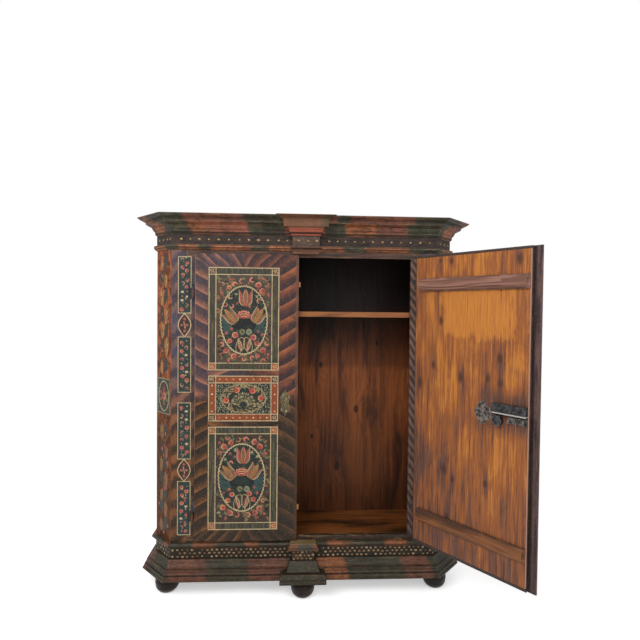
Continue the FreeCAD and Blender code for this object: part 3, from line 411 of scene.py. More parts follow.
def shade_and_dust(wood, colour, height):
    """Back boards: inside, painted shade above the shelf and darker streaks beside the open door; outside,
    dust; darker towards the floor.
    """
    wander = (wood.noise((7, 7, 9), 4) - 0.5) * 0.05
    # Painted shade: inside, the back goes near black above the shelf.
    shade_above_shelf = (wood.z + wander).step(1.09, 1.13) * 0.35 + (wood.z + wander).step(1.15, 1.50) * 0.62
    indoors = wood.y.step(0.3815, 0.3795)
    colour = wood.blend(shade_above_shelf.low(0.96) * indoors, colour, "0a0809")
    # Darker streaks towards the right, beside the open door.
    right_streaks = wood.noise((11, 11, 2.6), 5, 0.65, 0.6, 5.0).step(0.50, 0.62) * wood.x.step(0.12, 0.35)
    colour = wood.blend(right_streaks * indoors * 0.40, colour, "150d0a")
    colour = wood.blend(wood.z.step(1.00, 0.50) * indoors * 0.48, colour, "150c06")
    dusty = wood.blend(height.step(0.3, 0.7), "6b543f", "4c3b2d")
    colour = wood.blend((1 - indoors) * 0.86, colour, dusty)
    return wood.blend(wood.z.step(0.55, 0.25) * 0.35, colour, "2a150b")


def bare(name, across_axis, along_axis, knots, tones, *names, rough=0.45):
    """Dress boards in bare pine whose grain runs along one axis and rings cross another."""
    wood = Finish(name)
    axes = {"x": wood.x, "y": wood.y, "z": wood.z}
    depth = next(axes[key] for key in "yzx" if key not in (across_axis, along_axis))
    colour, height = pine(wood, axes[across_axis], axes[along_axis], depth, knots, *tones)
    if along_axis == "z":
        colour = shade_and_dust(wood, colour, height)
    dress(wood.close(colour, height * 0.2 + rough, height, 0.0004), *names)


bare("back_pine", "x", "z", KNOTS_BACK, ("8c4e26", "6e3a1c", "3a1c0e"), "back_boards")
bare("floor_pine", "y", "x", [(0.20, 0.24, 0.010)], ("7c4922", "623617", "331c0c"), "floor_boards")
bare("shelf_pine", "y", "x", [], ("8f5b36", "774a2b", "452818"), "shelf", "shelf_cleats")
bare("roof_pine", "y", "x", [(0.15, -0.3, 0.012), (0.28, 0.4, 0.012)], ("6d4a2c", "553720", "2c1c12"),
     "roof_boards", "crown_back_rail", "plinth_back_rail", rough=0.6)

# Ironwork: forged hinges, bolts, staples and the rim lock, black with brighter wear and a painted highlight
# on the lock's ledge.
# The escutcheons and the lock's leaf plate are sheet metal gone dull yellow-grey.


def forged(name, wear, highlight_level=None, tones=("17181a", "424245")):
    """Black forged iron, brighter where hands and keys rub it; at the level given, a painted highlight
    along a ledge with a painted shadow under it.
    """
    iron = Finish(name)
    hammer = iron.noise((75, 75, 75), 4, 0.6, 0.5)
    colour = iron.blend(hammer.step(0.38, 0.62), *tones)
    rust = iron.noise((50, 50, 50), 4, 0.6, 0.3, 3.0).step(0.54, 0.7)
    colour = iron.blend(rust * 0.5, colour, "4a382b")
    handled = iron.edges(0.003) * iron.noise((60, 60, 60), 4, 0.6, 0.4, 7.0).step(0.38, 0.62)
    colour = iron.blend(handled * wear, colour, "b4b0aa")
    if highlight_level is not None:
        # Painted highlight along the ledge, and a painted shadow just under it.
        colour = iron.blend(abs(iron.z - highlight_level).step(0.0042, 0.0022) * 0.85, colour, "c2beb6")
        colour = iron.blend(abs(iron.z - highlight_level + 0.007).step(0.005, 0.003) * 0.8, colour, "0b0b0c")
    return iron.close(colour, hammer * 0.3 + 0.28, hammer, 0.0003, gloss=0.5, metallic=0.6)


dress(forged("hinge_iron", 0.25), "left_door_hinges", "left_door_irons", "left_door_top_bolt",
      "left_door_bottom_bolt", "right_door_hinges")
dress(forged("lock_iron", 0.9, 1.0075), "lock_case")
dress(forged("plate_iron", 1.0, tones=("22201f", "786f68")), "lock_plate", "lock_bolt")

sheet = Finish("old_brass")
beaten = sheet.noise((230, 230, 230), 4, 0.6, 0.8)
colour = sheet.blend(beaten.step(0.40, 0.60), "2c241a", "77694b")
relief = sheet.noise((120, 120, 90), 2, 0.5, 1.6, 4.0)
# Painted shade in the grooves of the relief, painted highlights on its crests and on the edges.
colour = sheet.blend(abs(relief - 0.5).step(0.030, 0.008) * 0.8, colour, "17130d")
colour = sheet.blend(relief.step(0.56, 0.66) * 0.6, colour, "b5a57a")
colour = sheet.blend(sheet.edges(0.0015) * 0.8, colour, "c8bc92")
dress(sheet.close(colour, beaten * 0.25 + 0.32, beaten * 0.4 + relief, 0.0012, gloss=0.5, metallic=0.6),
      "left_door_escutcheon", "right_door_escutcheon")

# Door boards: pine, painted outside with flame strokes that lean away from the panels' middle
# line and from mid height, and fan out over and under the panels. Inside they are bare.

# The right door is painted as if shut: its joint says where the pin is and how far it is open.
right_hinge = next(joint for joint in frame["joints"] if joint["name"] == "right_door_hinge")
RIGHT_OPEN = math.radians(-right_hinge["range_deg"][0])
RIGHT_PIN = Vector((*right_hinge["pos_m"][:2], 0))
shut = Matrix.Rotation(-RIGHT_OPEN, 4, "Z")
AS_IF_SHUT = {"Location": RIGHT_PIN - shut @ RIGHT_PIN, "Rotation": (0, 0, -RIGHT_OPEN)}

# Distances from the cupboard's middle, in metres; the flames turn over at mid height.
left_door_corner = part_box("left_door_boards")[0]
MEETING_EDGE = 0.033
HINGE_EDGE = -left_door_corner.x - 0.0012
PANEL_MIDDLE = 0.306
FLAME_TURN = 0.993

# Knots of the right door, measured with the door shut: across, up and radius, in metres.
KNOTS_RIGHT = [
    (0.397, 1.682, 0.009), (0.339, 1.677, 0.009), (0.016, 1.665, 0.013), (0.388, 1.394, 0.011),
    (0.430, 1.180, 0.012), (0.508, 1.086, 0.014), (0.282, 1.137, 0.013), (0.148, 1.147, 0.012),
    (0.094, 1.240, 0.012), (0.090, 1.132, 0.012), (0.364, 0.689, 0.016), (0.318, 0.654, 0.010),
    (0.151, 0.678, 0.010), (0.342, 0.463, 0.011)]


def flames(finish, middle):
    """Feathered strokes beside the panels and over and under them: each starts with a
    bright edge and fades down into the dark start of the next."""
    side = (finish.x - middle) * (-1 if middle > 0 else 1)
    dx = abs(side)
    rise = abs(finish.z - FLAME_TURN)
    high = finish.z.step(FLAME_TURN - 0.03, FLAME_TURN + 0.03)
    brush = (finish.noise((11, 11, 5), 3, 0.55, 0.5) - 0.5) * 0.5
    out = (dx - 0.175).top(0)
    right = side.step(-0.004, 0.004)
    # Each quarter of the door has its own pitch of strokes and its own first stroke.
    period = 0.0727 + right * 0.0054 + high * (0.0022 - right * 0.0043)
    start = 0.0061 - right * 0.0074 + high * (0.0580 - right * 0.0488)
    feather = (rise - start - out * 0.42 - out * out * 1.9) / period + brush * 0.4
    over = (rise - 0.655).top(0)
    fan = (dx - over * (dx.step(0.02, 0.15) * 0.45 + 0.58)) / 0.058 + brush * 0.5 - 0.16
    corner = (over - out * 0.85).step(-0.003, 0.006)
    phase = feather + (fan - feather) * corner
    part = phase - phase.math("FLOOR", phase)
    turned = high + right - high * right * 2
    part = turned + part * (1 - turned * 2)
    streak = finish.noise((110, 110, 34), 6, 0.70, 1.1, 5.0)
    along = finish.node("ShaderNodeCombineXYZ", None, {0: (out + over) * 30, 1: phase * 4, 2: high * 9})
    comb = finish.noise((1, 1, 1), 5, 0.68, 0.3, 3.0, along)
    crest = part.step(0.80, 0.96) * part.step(1.0, 0.97)
    part = part + (streak - 0.5) * 0.34 + (comb - 0.5) * 0.46
    wide = side.step(-0.05, 0.05)
    light = (part + wide * 0.10).step(0.26, 1.04)
    light = light * (0.35 + light * 0.65) * (part - (streak - 0.5) * 0.3).step(1.12, 0.96)
    light = light * (finish.noise((14, 14, 10), 4, 0.6, 0.5, 6.0).step(0.34, 0.58) * 0.45 + 0.55)
    light = light * (1 - (1 - high) * (wide * 0.35 + 0.15)) * (1 - corner * wide * 0.35)
    night, dusk, glow = (
        finish.blend(high, finish.blend(wide, *low_pair), finish.blend(wide, *high_pair))
        for low_pair, high_pair in ((("231a14", "1d1610"), ("312b33", "251d22")),
                                    (("2c2018", "2c2018"), ("46383c", "3c2a2b")),
                                    (("744c2c", "6a4a32"), ("84584a", "864a30"))))
    tone = finish.blend(streak.step(0.36, 0.62), night, dusk)
    tone = finish.blend(light * (1.0 - wide * 0.18), tone, glow)
    edge_tone = finish.blend(high, "8a5e38", "a3705c")
    tone = finish.blend(crest * light * (0.5 - wide * 0.25), tone, edge_tone)
    warm = finish.noise((7, 7, 5), 4, 0.55, 0.4, 8.0).step(0.44, 0.60)
    tone = finish.blend(warm * light * comb.step(0.42, 0.6) * 0.5, tone, "a8622f")
    tone = finish.blend(streak.step(0.42, 0.28) * 0.4, tone, "1b1516")
    handled = finish.noise((60, 60, 9), 3, 0.6).step(0.30, 0.5) * 0.5 + 0.3
    free_edge = abs(finish.x).step(MEETING_EDGE + 0.020, MEETING_EDGE + 0.010) * handled
    tone = finish.blend(free_edge, tone, finish.blend(high, "4a3020", "5b3f35"))
    lit_edge = abs(abs(finish.x) - HINGE_EDGE).step(0.0016, 0.0008) * finish.z.step(0.55, 0.9)
    return finish.blend(lit_edge * 0.7, tone, "94776a")


def bare_inside(door, across, knots):
    """Bare pine behind: rubbed amber where it was cleaned, purple-brown patina in upright
    streaks elsewhere, and dark knots that drag a stain up and down the grain."""
    streak = door.noise((62, 62, 2.4), 6, 0.72, 0.15, 3.0)
    cloud = door.noise((6, 6, 2.4), 4, 0.6, 0.7, 9.0)
    fibre = door.noise((320, 320, 7), 3, 0.65, 0.0, 4.0)
    rough_edge = (door.noise((16, 16, 6), 5, 0.7, 0.4, 1.0) - 0.5) * 0.13
    clean = (abs(across - 0.21) + rough_edge).step(0.205, 0.14)
    clean = clean * (abs(door.z - 1.44) + rough_edge).step(0.135, 0.09)
    lock_stain = abs(across - 0.08).step(0.20, 0.07) * abs(door.z - 1.01).step(0.13, 0.05)
    patina = (cloud - 0.5) * 1.7 + (streak - 0.5) * 2.6 + 0.44 + lock_stain * 0.40 - clean * 0.46
    patina = patina + across.step(0.40, 0.56) * 0.10
    patina = patina + door.z.step(0.95, 0.55) * 0.30 - door.z.step(1.50, 1.62) * 0.07
    eyes = None
    for u, v, radius in knots:
        spot = door.node("ShaderNodeMapping", None, {
            "Vector": door.place, "Scale": (1 / radius, 0, 0.55 / radius),
            "Location": (-u / radius, 0, -v * 0.55 / radius)})
        distance = door.node("ShaderNodeVectorMath", {"operation": "LENGTH"}, {0: spot}, 1)
        eye = (distance + (streak - 0.5) * 4.0).step(1.5, 0.2)
        eyes = eye if eyes is None else eyes.top(eye)
        trail = door.node("ShaderNodeMapping", None, {
            "Vector": door.place, "Scale": (0.8 / radius, 0, 0.16 / radius),
            "Location": (-u * 0.8 / radius, 0, -v * 0.16 / radius)})
        trail = door.node("ShaderNodeVectorMath", {"operation": "LENGTH"}, {0: trail}, 1)
        patina = patina + trail.step(1.8, 0.4) * 0.35
    amber = door.blend(fibre.step(0.35, 0.65), "bd7a33", "a2622d")
    russet = door.blend(fibre.step(0.35, 0.65), "95592d", "7c472a")
    mauve = door.blend(fibre.step(0.35, 0.65), "6b483a", "472f29")
    colour = door.blend(patina.step(0.12, 0.50), amber, russet)
    colour = door.blend(patina.step(0.52, 0.98), colour, mauve)
    colour = door.blend(streak.step(0.60, 0.68) * 0.45, colour, "3a241e")
    colour = door.blend(eyes * 0.8, colour, "38241e")
    specks = door.noise((420, 420, 260), 1, 0.5, 0.0, 2.0).step(0.70, 0.75)
    return door.blend(specks * 0.7, colour, "2b1811"), fibre


def door_material(name, middle, moved, knots):
    """Painted outside, bare pine inside: the two meet on the edge of the boards."""
    door = Finish(name, moved)
    outside, fine, patches = worn_and_shaded(door, flames(door, middle), 0.35, 1.0)
    inside, height = bare_inside(door, abs(door.x), knots)
    inside = door.blend(abs(door.x + MEETING_EDGE).step(0.0021, 0.0012) * 0.85, inside, "b9958a")
    lip = door.blend(fine.step(0.4, 0.6), "2e2825", "4a3d36")
    inside = door.blend(door.y.step(0.001, 0.003), lip, inside)
    back = door.y.step(-0.0008, 0.0002)
    colour = door.blend(back, outside, inside)
    return door.close(colour, fine * 0.15 + 0.36, fine + height, 0.0004)


knots_left = [(-u, v, radius) for u, v, radius in KNOTS_RIGHT[::2]]
dress(door_material("left_door_paint", -PANEL_MIDDLE, None, knots_left), "left_door_boards")
dress(door_material("right_door_paint", PANEL_MIDDLE, AS_IF_SHUT, KNOTS_RIGHT), "right_door_boards")


# Battens and lesene: pine bars across the backs of the doors, and the painted strip that is
# nailed to the right door's edge and covers the meeting line. Its back is seen with the door open.


def batten_material(name, moved):
    """The lower battens are orange, the upper ones gone mauve; end grain is pale."""
    batten = Finish(name, moved)
    colour, height = pine(batten, batten.z, batten.x, batten.y, [], "8f5b36", "744527", "432a1d")
    mauve = batten.blend(height.step(0.2, 0.7), "8d6659", "69483c")
    colour = batten.blend(batten.z.step(1.0, 1.1), colour, mauve)
    chamfer = abs(abs(batten.z - 0.9985) - 0.5705)
    chamfer = abs(chamfer - 0.031).step(0.008, 0.002) * batten.noise((30, 30, 30), 3).step(0.3, 0.5)
    colour = batten.blend(chamfer * 0.65, colour, "2b1b14")
    colour = batten.blend(batten.edges(0.0022) * 0.5, colour, "b3936f")
    if moved is None:
        colour = batten.blend(batten.x.step(-0.035, -0.0335), colour, "b9834f")
    return batten.close(colour, height * 0.2 + 0.4, height, 0.0004)


for side_name, moved in (("left", None), ("right", AS_IF_SHUT)):
    dress(batten_material(f"{side_name}_batten_pine", moved),
          f"{side_name}_door_batten_top", f"{side_name}_door_batten_bottom")

cover = Finish("lesene_paint", AS_IF_SHUT)
slant = (cover.z + abs(cover.x) * 0.6 + (cover.noise((9, 9, 5), 4, 0.6, 0.4) - 0.5) * 0.06) / 0.11
colour = cover.blend(slant.wave().step(0.2, 0.8), "33262b", "63402f")
rear = cover.y.step(-0.0125, -0.0118)
back_wear_and_shadow = cover.blend(cover.noise((90, 90, 6), 4).step(0.35, 0.65), "2b2024", "5f4845")
# Painted shadow: the back goes near black next to the door boards.
back_wear_and_shadow = cover.blend(cover.x.step(-0.050, -0.038) * 0.85, back_wear_and_shadow, "120e10")
colour = cover.blend(rear, colour, back_wear_and_shadow)
colour, fine, patches = worn_and_shaded(cover, colour, 0.35, 0.9)
dress(cover.close(colour, fine * 0.2 + 0.36, fine, 0.0003), "right_door_lesene")

# Painted ornament: brushwork over the flame ground, thin skins of oil paint that follow
# the wood. Panels on the doors, cartouches on the stiles, tulips and leaves on the cants.

CREAM, OCHRE, PINK, RED = "b09d78", "8f6c40", "94504a", "86402f"
GREEN, NIGHT, MOSS, ROSE = "33332a", "1c2625", "5d5f40", "b9705a"
WHITE, RUST, BROWN = "c4b999", "8c4526", "382a24"
TEAL, PEACH, SAGE = "28403f", "ac6c4a", "71745a"

brushwork = Finish("ornament_paint")
dab = brushwork.node("ShaderNodeAttribute", {"attribute_name": "pigment"}, None, 0)
weave = brushwork.noise((520, 520, 130), 3, 0.65)
cloud = brushwork.noise((40, 40, 30), 5, 0.65, 0.4, 4.0)
chips = brushwork.noise((150, 150, 120), 3, 0.6, 0.0, 9.0)
colour = brushwork.blend(weave.step(0.52, 0.70) * 0.5, dab, "15120f")
colour = brushwork.blend(weave.step(0.46, 0.32) * 0.18, colour, "a58d68")
colour = brushwork.blend(cloud.step(0.5, 0.68) * 0.35, colour, "241b17")
colour = brushwork.blend(chips.step(0.62, 0.68) * 0.6, colour, "2b211c")
brushwork.close(colour, weave * 0.2 + 0.40, weave + chips, 0.0002)

# Thickness of a dab, what each layer adds, and what tells dabs of one layer apart, in metres.
DAB, LAYER, HAIR = 0.00012, 0.00002, 0.000001


class Brush:
    """Collects flat dabs on one face, in millimetres; put turns them to places in metres."""

    def __init__(self, name, body, put):
        self.name, self.body, self.put = name, body, put
        self.points, self.dabs = [], []
        self.layer = 0

    def dab(self, outline, colour, faces=None):
        """Lay down one patch: a closed outline, or points with the faces that join them."""
        start = len(self.points)
        lift = DAB + LAYER * self.layer + HAIR * (len(self.dabs) % 17)
        self.points += [self.put(u, v, lift) for u, v in outline]
        own = [[start + i for i in face] for face in faces or [range(len(outline))]]
        self.dabs.append((start, len(outline), own, pigment(colour), lift))

    def next(self):
        """What follows lies over what is there."""
        self.layer += 1

    def box(self, u0, u1, v0, v1, colour):
        self.dab([(u0, v0), (u1, v0), (u1, v1), (u0, v1)], colour)

    def line(self, path, width, colour, closed=False, taper=False):
        """A stroke along a path, even or thinning to both ends."""
        count = len(path)
        left, right = [], []
        for i, (u, v) in enumerate(path):
            before = path[i - 1] if i or closed else path[i]
            after = path[(i + 1) % count] if i + 1 < count or closed else path[i]
            du, dv = after[0] - before[0], after[1] - before[1]
            size = math.hypot(du, dv) or 1
            half = width / 2
            if taper:
                half *= 0.25 + 0.75 * math.sin(math.pi * (i + 0.5) / count)
            left.append((u - dv / size * half, v + du / size * half))
            right.append((u + dv / size * half, v - du / size * half))
        last = count if closed else count - 1
        quads = [(i, count + i, count + (i + 1) % count, (i + 1) % count) for i in range(last)]
        self.dab(left + right, colour, quads)

    def frame(self, u0, u1, v0, v1, width, colour):
        for a, b, c, d in ((u0, u1, v0, v0 + width), (u0, u1, v1 - width, v1),
                           (u0, u0 + width, v0, v1), (u1 - width, u1, v0, v1)):
            self.box(a, b, c, d, colour)

    def oval(self, u, v, ru, rv, colour, count=40, wobble=0.0, turn=0.0):
        """An oval patch; a wobble gives it the uneven edge of a loaded brush."""
        outline = []
        for i in range(count):
            t = math.tau * i / count
            r = 1 + wobble * math.sin(3 * t + u) + wobble * 0.6 * math.sin(5 * t + v)
            a, b = ru * r * math.cos(t), rv * r * math.sin(t)
            outline.append((u + a * math.cos(turn) - b * math.sin(turn),
                            v + a * math.sin(turn) + b * math.cos(turn)))
        self.dab(outline, colour)

    def petal(self, u, v, angle, length, width, colour, bend=0.0, fat=0.5):
        """A leaf of paint from its foot at (u, v); fat moves its widest place along it."""
        left, right = [], []
        cu, cv = u, v
        for i in range(9):
            t = i / 8
            swell = math.sin(math.pi * min(max(t, 0.02), 0.98) ** (math.log(0.5) / math.log(fat)))
            half = width / 2 * max(swell, 0.03) ** 0.7
            aim = angle + bend * (t - 0.5)
            left.append((cu - half * math.sin(aim), cv + half * math.cos(aim)))
            right.append((cu + half * math.sin(aim), cv - half * math.cos(aim)))
            cu += length / 8 * math.cos(aim)
            cv += length / 8 * math.sin(aim)
        quads = [(i, 9 + i, 10 + i, i + 1) for i in range(8)]
        self.dab(left + right, colour, quads)

    def bake(self):
        """Each dab becomes a closed skin whose back lies just inside the wood."""
        outward = self.put(0, 0, 1) - self.put(0, 0, 0)
        total = len(self.points)
        backs = []
        faces, colours = [], []
        for start, count, own_faces, colour, lift in self.dabs:
            backs += [point - outward * (lift + 0.00005) for point in self.points[start:start + count]]
            edges = {}
            for face in own_faces:
                sides = zip(face, face[1:] + face[:1])
                area = sum((self.points[p].cross(self.points[q]) for p, q in sides), Vector())
                loop = face if area.dot(outward) > 0 else face[::-1]
                faces.append(loop)
                faces.append([total + i for i in loop[::-1]])
                for p, q in zip(loop, loop[1:] + loop[:1]):
                    edges[p, q] = True
                colours += [colour, colour]
            for p, q in edges:
                if (q, p) not in edges:
                    faces.append([q, p, total + p, total + q])
                    colours.append(colour)
        mesh = bpy.data.meshes.new(self.name)
        mesh.from_pydata(self.points + backs, [], faces)
        layer = mesh.attributes.new("pigment", "FLOAT_COLOR", "CORNER")
        flat = [channel for face, colour in zip(faces, colours) for _ in face for channel in colour]
        layer.data.foreach_set("color", flat)
        mesh.materials.append(brushwork.material)
        piece = bpy.data.objects.new(self.name, mesh)
        bpy.context.scene.collection.objects.link(piece)
        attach(piece, self.body)


def blossom(brush, u, v, r, colour, dice):
    """A full rose: a dark uneven round, a lighter dab in it, a ring stroke and a darker eye."""
    brush.oval(u, v, r, r * dice.uniform(0.86, 1.0), "6e3a30", 16, 0.08)
    brush.next()
    cu, cv = u + r * dice.uniform(-0.12, 0.12), v + r * dice.uniform(-0.1, 0.15)
    brush.oval(cu, cv, r * 0.80, r * 0.76, colour, 14, 0.07)
    brush.next()
    start = dice.random() * math.tau
    ring = [(u + r * 0.78 * math.cos(start + k * 0.5), v + r * 0.78 * math.sin(start + k * 0.5))
            for k in range(9)]
    brush.line(ring, r * 0.26, "c08a62" if dice.random() < 0.6 else ROSE, taper=True)
    brush.next()
    brush.oval(u + r * 0.08, v - r * 0.05, r * 0.28, r * 0.24, "7c3326", 9)


def bud(brush, u, v, r, colour, angle, dice):
    """A half open flower: a thick crescent round a dark hollow, often with a pale rim."""
    for reach, wide, tone in ((0.72, 0.62, colour), (0.92, 0.16, ROSE if dice.random() < 0.7 else CREAM)):
        arc = [(u + r * reach * math.cos(angle + t), v + r * reach * math.sin(angle + t))
               for t in [k * 0.52 - 2.0 for k in range(9)]]
        brush.line(arc, r * wide, tone, taper=True)
        brush.next()
    brush.layer -= 1


def tulip(brush, u, v, angle, length, width, core, skin):
    """A full tulip from its base: a goblet with three tips, striped along its petals."""
    def at(along, across):
        a, b = along * length, across * width
        return (u + a * math.cos(angle) - b * math.sin(angle),
                v + a * math.sin(angle) + b * math.cos(angle))

    half = [(0.0, 0.12), (0.05, 0.30), (0.20, 0.45), (0.45, 0.51), (0.75, 0.49), (1.0, 0.52),
            (0.80, 0.30), (0.60, 0.24), (0.85, 0.17)]
    goblet = [at(a, b) for a, b in half] + [at(1.04, 0.0)] + [at(a, -b) for a, b in half[::-1]]
    brush.dab(goblet, skin)
    brush.next()
    for sign in (1, -1):
        rim = [(0.02, 0.20), (0.12, 0.38), (0.32, 0.475), (0.62, 0.475), (0.98, 0.50)]
        spine = [(0.06, 0.07), (0.4, 0.15), (0.7, 0.15), (1.0, 0.03)]
        for path, inward, wide, tone in (
                (rim, 1, 0.055, CREAM), (rim[:-1] + [(0.86, 0.5)], 0.78, 0.075, PINK),
                (rim[:-1] + [(0.70, 0.46)], 0.56, 0.045, MOSS),
                (spine, 1, 0.05, PEACH if core == OCHRE else ROSE)):
            brush.line([at(a, b * sign * inward) for a, b in path], width * wide, tone, taper=True)
    brush.next()
    brush.line([at(a, 0) for a in (0.06, 0.3, 0.55, 0.8, 1.0)], width * 0.17, core, taper=True)
    brush.next()
    brush.line([at(a, 0) for a in (0.08, 0.3, 0.5, 0.7)], width * 0.05, RED, taper=True)


def wreath(brush, u, v, ru, rv, colour, scallops, width, depth):
    """An oval line that runs round in little scallops."""
    path = []
    count = scallops * 5
    for i in range(count):
        t = math.tau * i / count
        swell = depth * (abs(math.sin(scallops * t / 2)) - 0.5)
        path.append((u + (ru + swell) * math.cos(t), v + (rv + swell) * math.sin(t)))
    brush.line(path, width, colour, closed=True)


def corner_square(brush, u0, v0, side, ground):
    """Panel corner: a square with two little scrolls."""
    brush.box(u0, u0 + side, v0, v0 + side, ground)
    brush.next()
    for middle, tone in ((0.32, CREAM), (0.68, CREAM), (0.50, PEACH)):
        scroll = [(u0 + side * (middle + 0.12 * math.sin(k * 1.05)), v0 + side * (0.16 + 0.085 * k))
                  for k in range(9)]
        brush.line(scroll, side * 0.085, tone, taper=True)
    brush.next()


def band_frame(brush, u, half, v0, v1, band):
    """The double cream line round a panel, closed over its corner squares."""
    inner = half - band
    brush.frame(u - half, u + half, v0, v1, 4.4, CREAM)
    for a in (u - inner, u + inner):
        brush.box(a - 2.0, a + 2.0, v0, v1, CREAM)
    for b in (v0 + band, v1 - band):
        brush.box(u - half, u + half, b - 2.0, b + 2.0, CREAM)
    brush.next()


def ruled_band(brush, u, half, v0, v1, band, dice):
    """Fine upright strokes that darken and lighten the green band of a panel."""
    tones = (NIGHT, MOSS, BROWN, "554338", "4a3a3a", "5b5742")
    for _ in range(330):
        low = dice.choice((v0, v1 - band, None, None))
        if low is None:
            a = dice.choice((-1, 1)) * (half - dice.uniform(3, band - 3))
            b = dice.uniform(v0 + band, v1 - band - 90)
            brush.box(u + a, u + a + 1.5, b, b + dice.uniform(30, 90), dice.choice(tones))
        else:
            a = dice.uniform(-half + band, half - band)
            brush.box(u + a, u + a + 1.5, low + 4, low + band - 4, dice.choice(tones))
    brush.next()


# Flowers round and in the oval: right and up from its middle, radius, and kind
# (0 crescent, 1 full rose, 2 pink dab, 3 open ring, 4 cream sprig).
UPPER_FLOWERS = [
    (-106, 180, 10, 0), (-71, 203, 11, 2), (-46, 178, 14, 3), (-73, 161, 13, 1), (-12, 194, 12, 0),
    (40, 201, 14, 3), (90, 207, 13, 2), (71, 175, 17, 1), (92, 146, 18, 1), (126, 175, 10, 0),
    (121, 128, 13, 2), (-110, 132, 12, 2), (-110, -122, 13, 3), (-87, -152, 15, 1), (-114, -172, 10, 2),
    (-48, -181, 17, 1), (2, -193, 12, 3), (42, -189, 12, 3), (69, -176, 13, 1), (96, -151, 17, 1),
    (121, -172, 10, 2), (115, -114, 13, 3), (96, -204, 13, 0), (-76, -203, 12, 2), (-67, 116, 12, 3),
    (-39, 129, 8, 4), (-92, 77, 12, 0), (-60, 70, 11, 3), (-33, 85, 9, 2), (64, 118, 10, 4),
    (77, 95, 14, 0), (62, 54, 12, 3), (103, 62, 10, 4), (29, 66, 9, 2), (-42, -75, 18, 1),
    (47, -86, 17, 1), (-69, -104, 14, 1), (66, -115, 15, 1), (-87, -66, 12, 2), (-62, -44, 10, 2),
    (91, -73, 11, 2), (70, -56, 9, 2)]
LOWER_FLOWERS = [
    (-112, 175, 10, 2), (-72, 201, 12, 0), (-87, 155, 17, 1), (-54, 175, 15, 1), (-18, 191, 13, 0),
    (22, 192, 14, 3), (64, 179, 17, 1), (96, 199, 12, 0), (90, 155, 17, 1), (-108, 122, 13, 0),
    (117, 120, 14, 2), (-92, -151, 16, 1), (-58, -179, 17, 1), (-22, -189, 13, 0), (32, -189, 14, 3),
    (68, -179, 15, 1), (90, -157, 16, 1), (108, -117, 12, 3), (114, -185, 10, 2), (-114, -177, 10, 4),
    (-80, -207, 10, 2), (74, -205, 10, 2), (-58, 121, 10, 2), (-34, 139, 10, 4), (-82, 91, 9, 4),
    (-54, 75, 11, 3), (-34, 103, 10, 2), (50, 127, 11, 4), (78, 107, 11, 4), (66, 63, 12, 0),
    (90, 83, 8, 2), (-90, -77, 9, 2), (-62, -61, 11, 2), (-48, -85, 14, 1), (-67, -115, 14, 1),
    (38, -81, 15, 1), (64, -51, 9, 2), (78, -79, 10, 2), (60, -110, 14, 1)]


OVAL = (115, 169)
BAND = 36


def field(brush, u, inner, low, high, dice):
    """The ground between band and oval, filled with short leaves and small buds."""
    leaves = ("5a5c3c", "6a4438", "24271f", "6a6a48", "7a5a40", "1d201c", "33403a")
    for _ in range(460):
        a, b = dice.uniform(-0.90, 0.90) * inner, dice.uniform(low + 16, high - 16)
        brush.petal(u + a, b, dice.random() * math.tau, dice.uniform(12, 28), 10, dice.choice(leaves),
                    dice.uniform(-1, 1))
    brush.next()
    for _ in range(46):
        a, b = dice.uniform(-0.90, 0.90) * inner, dice.uniform(low + 16, high - 16)
        tone = dice.choice(("8a5240", "7a4438", "8f6a4a", "6b6a4c"))
        brush.oval(u + a, b, dice.uniform(3, 6), dice.uniform(3, 5), tone, 7, 0.1)
    brush.next()


def oval_ground(brush, u, middle, dice):
    """The night-blue oval, with a teal cloud at either side and dark leaves all over."""
    ru, rv = OVAL
    brush.oval(u, middle, ru, rv, NIGHT, 48)
    brush.next()
    for side in (-1, 1):
        brush.oval(u + side * 78, middle - 18, 32, 52, TEAL, 24, 0.05)
    brush.next()
    for _ in range(90):
        t, r = dice.random() * math.tau, dice.random() ** 0.5 * 0.9
        brush.petal(u + ru * r * math.cos(t), middle + rv * r * math.sin(t), dice.random() * math.tau,
                    dice.uniform(10, 24), 5, dice.choice((GREEN, "35483a", "16201f")),
                    dice.uniform(-1, 1))
    brush.next()


def strewn(brush, u, middle, flowers, dice):
    """The listed flowers, each over two leaves of its own."""
    for a, b, r, kind in flowers:
        cu, cv = u + a, middle + b
        tint = dice.choice((PINK, "94483a", "a05844", "8c4846"))
        for _ in range(2):
            brush.petal(cu, cv, dice.random() * math.tau, r * 2.0, r * 0.45, "3f4a33", 0.6)
        brush.next()
        if kind == 1:
            blossom(brush, cu, cv, r, tint, dice)
            brush.layer -= 2
        elif kind == 2:
            brush.oval(cu, cv, r * 0.95, r * 0.72, "6f3e38", 10, 0.08, dice.random() * 3)
            brush.next()
            brush.oval(cu + 1, cv + 2, r * 0.68, r * 0.46, tint, 9, 0.08, dice.random() * 3)
            brush.layer -= 1
        elif kind == 4:
            for k in range(5):
                brush.petal(cu, cv, k * 1.26 + a, r, r * 0.42, CREAM if k % 2 else SAGE)
        else:
            bud(brush, cu, cv, r, tint if kind == 0 else ROSE, dice.random() * math.tau, dice)
            brush.layer -= 1
        brush.layer -= 1
    brush.layer += 5


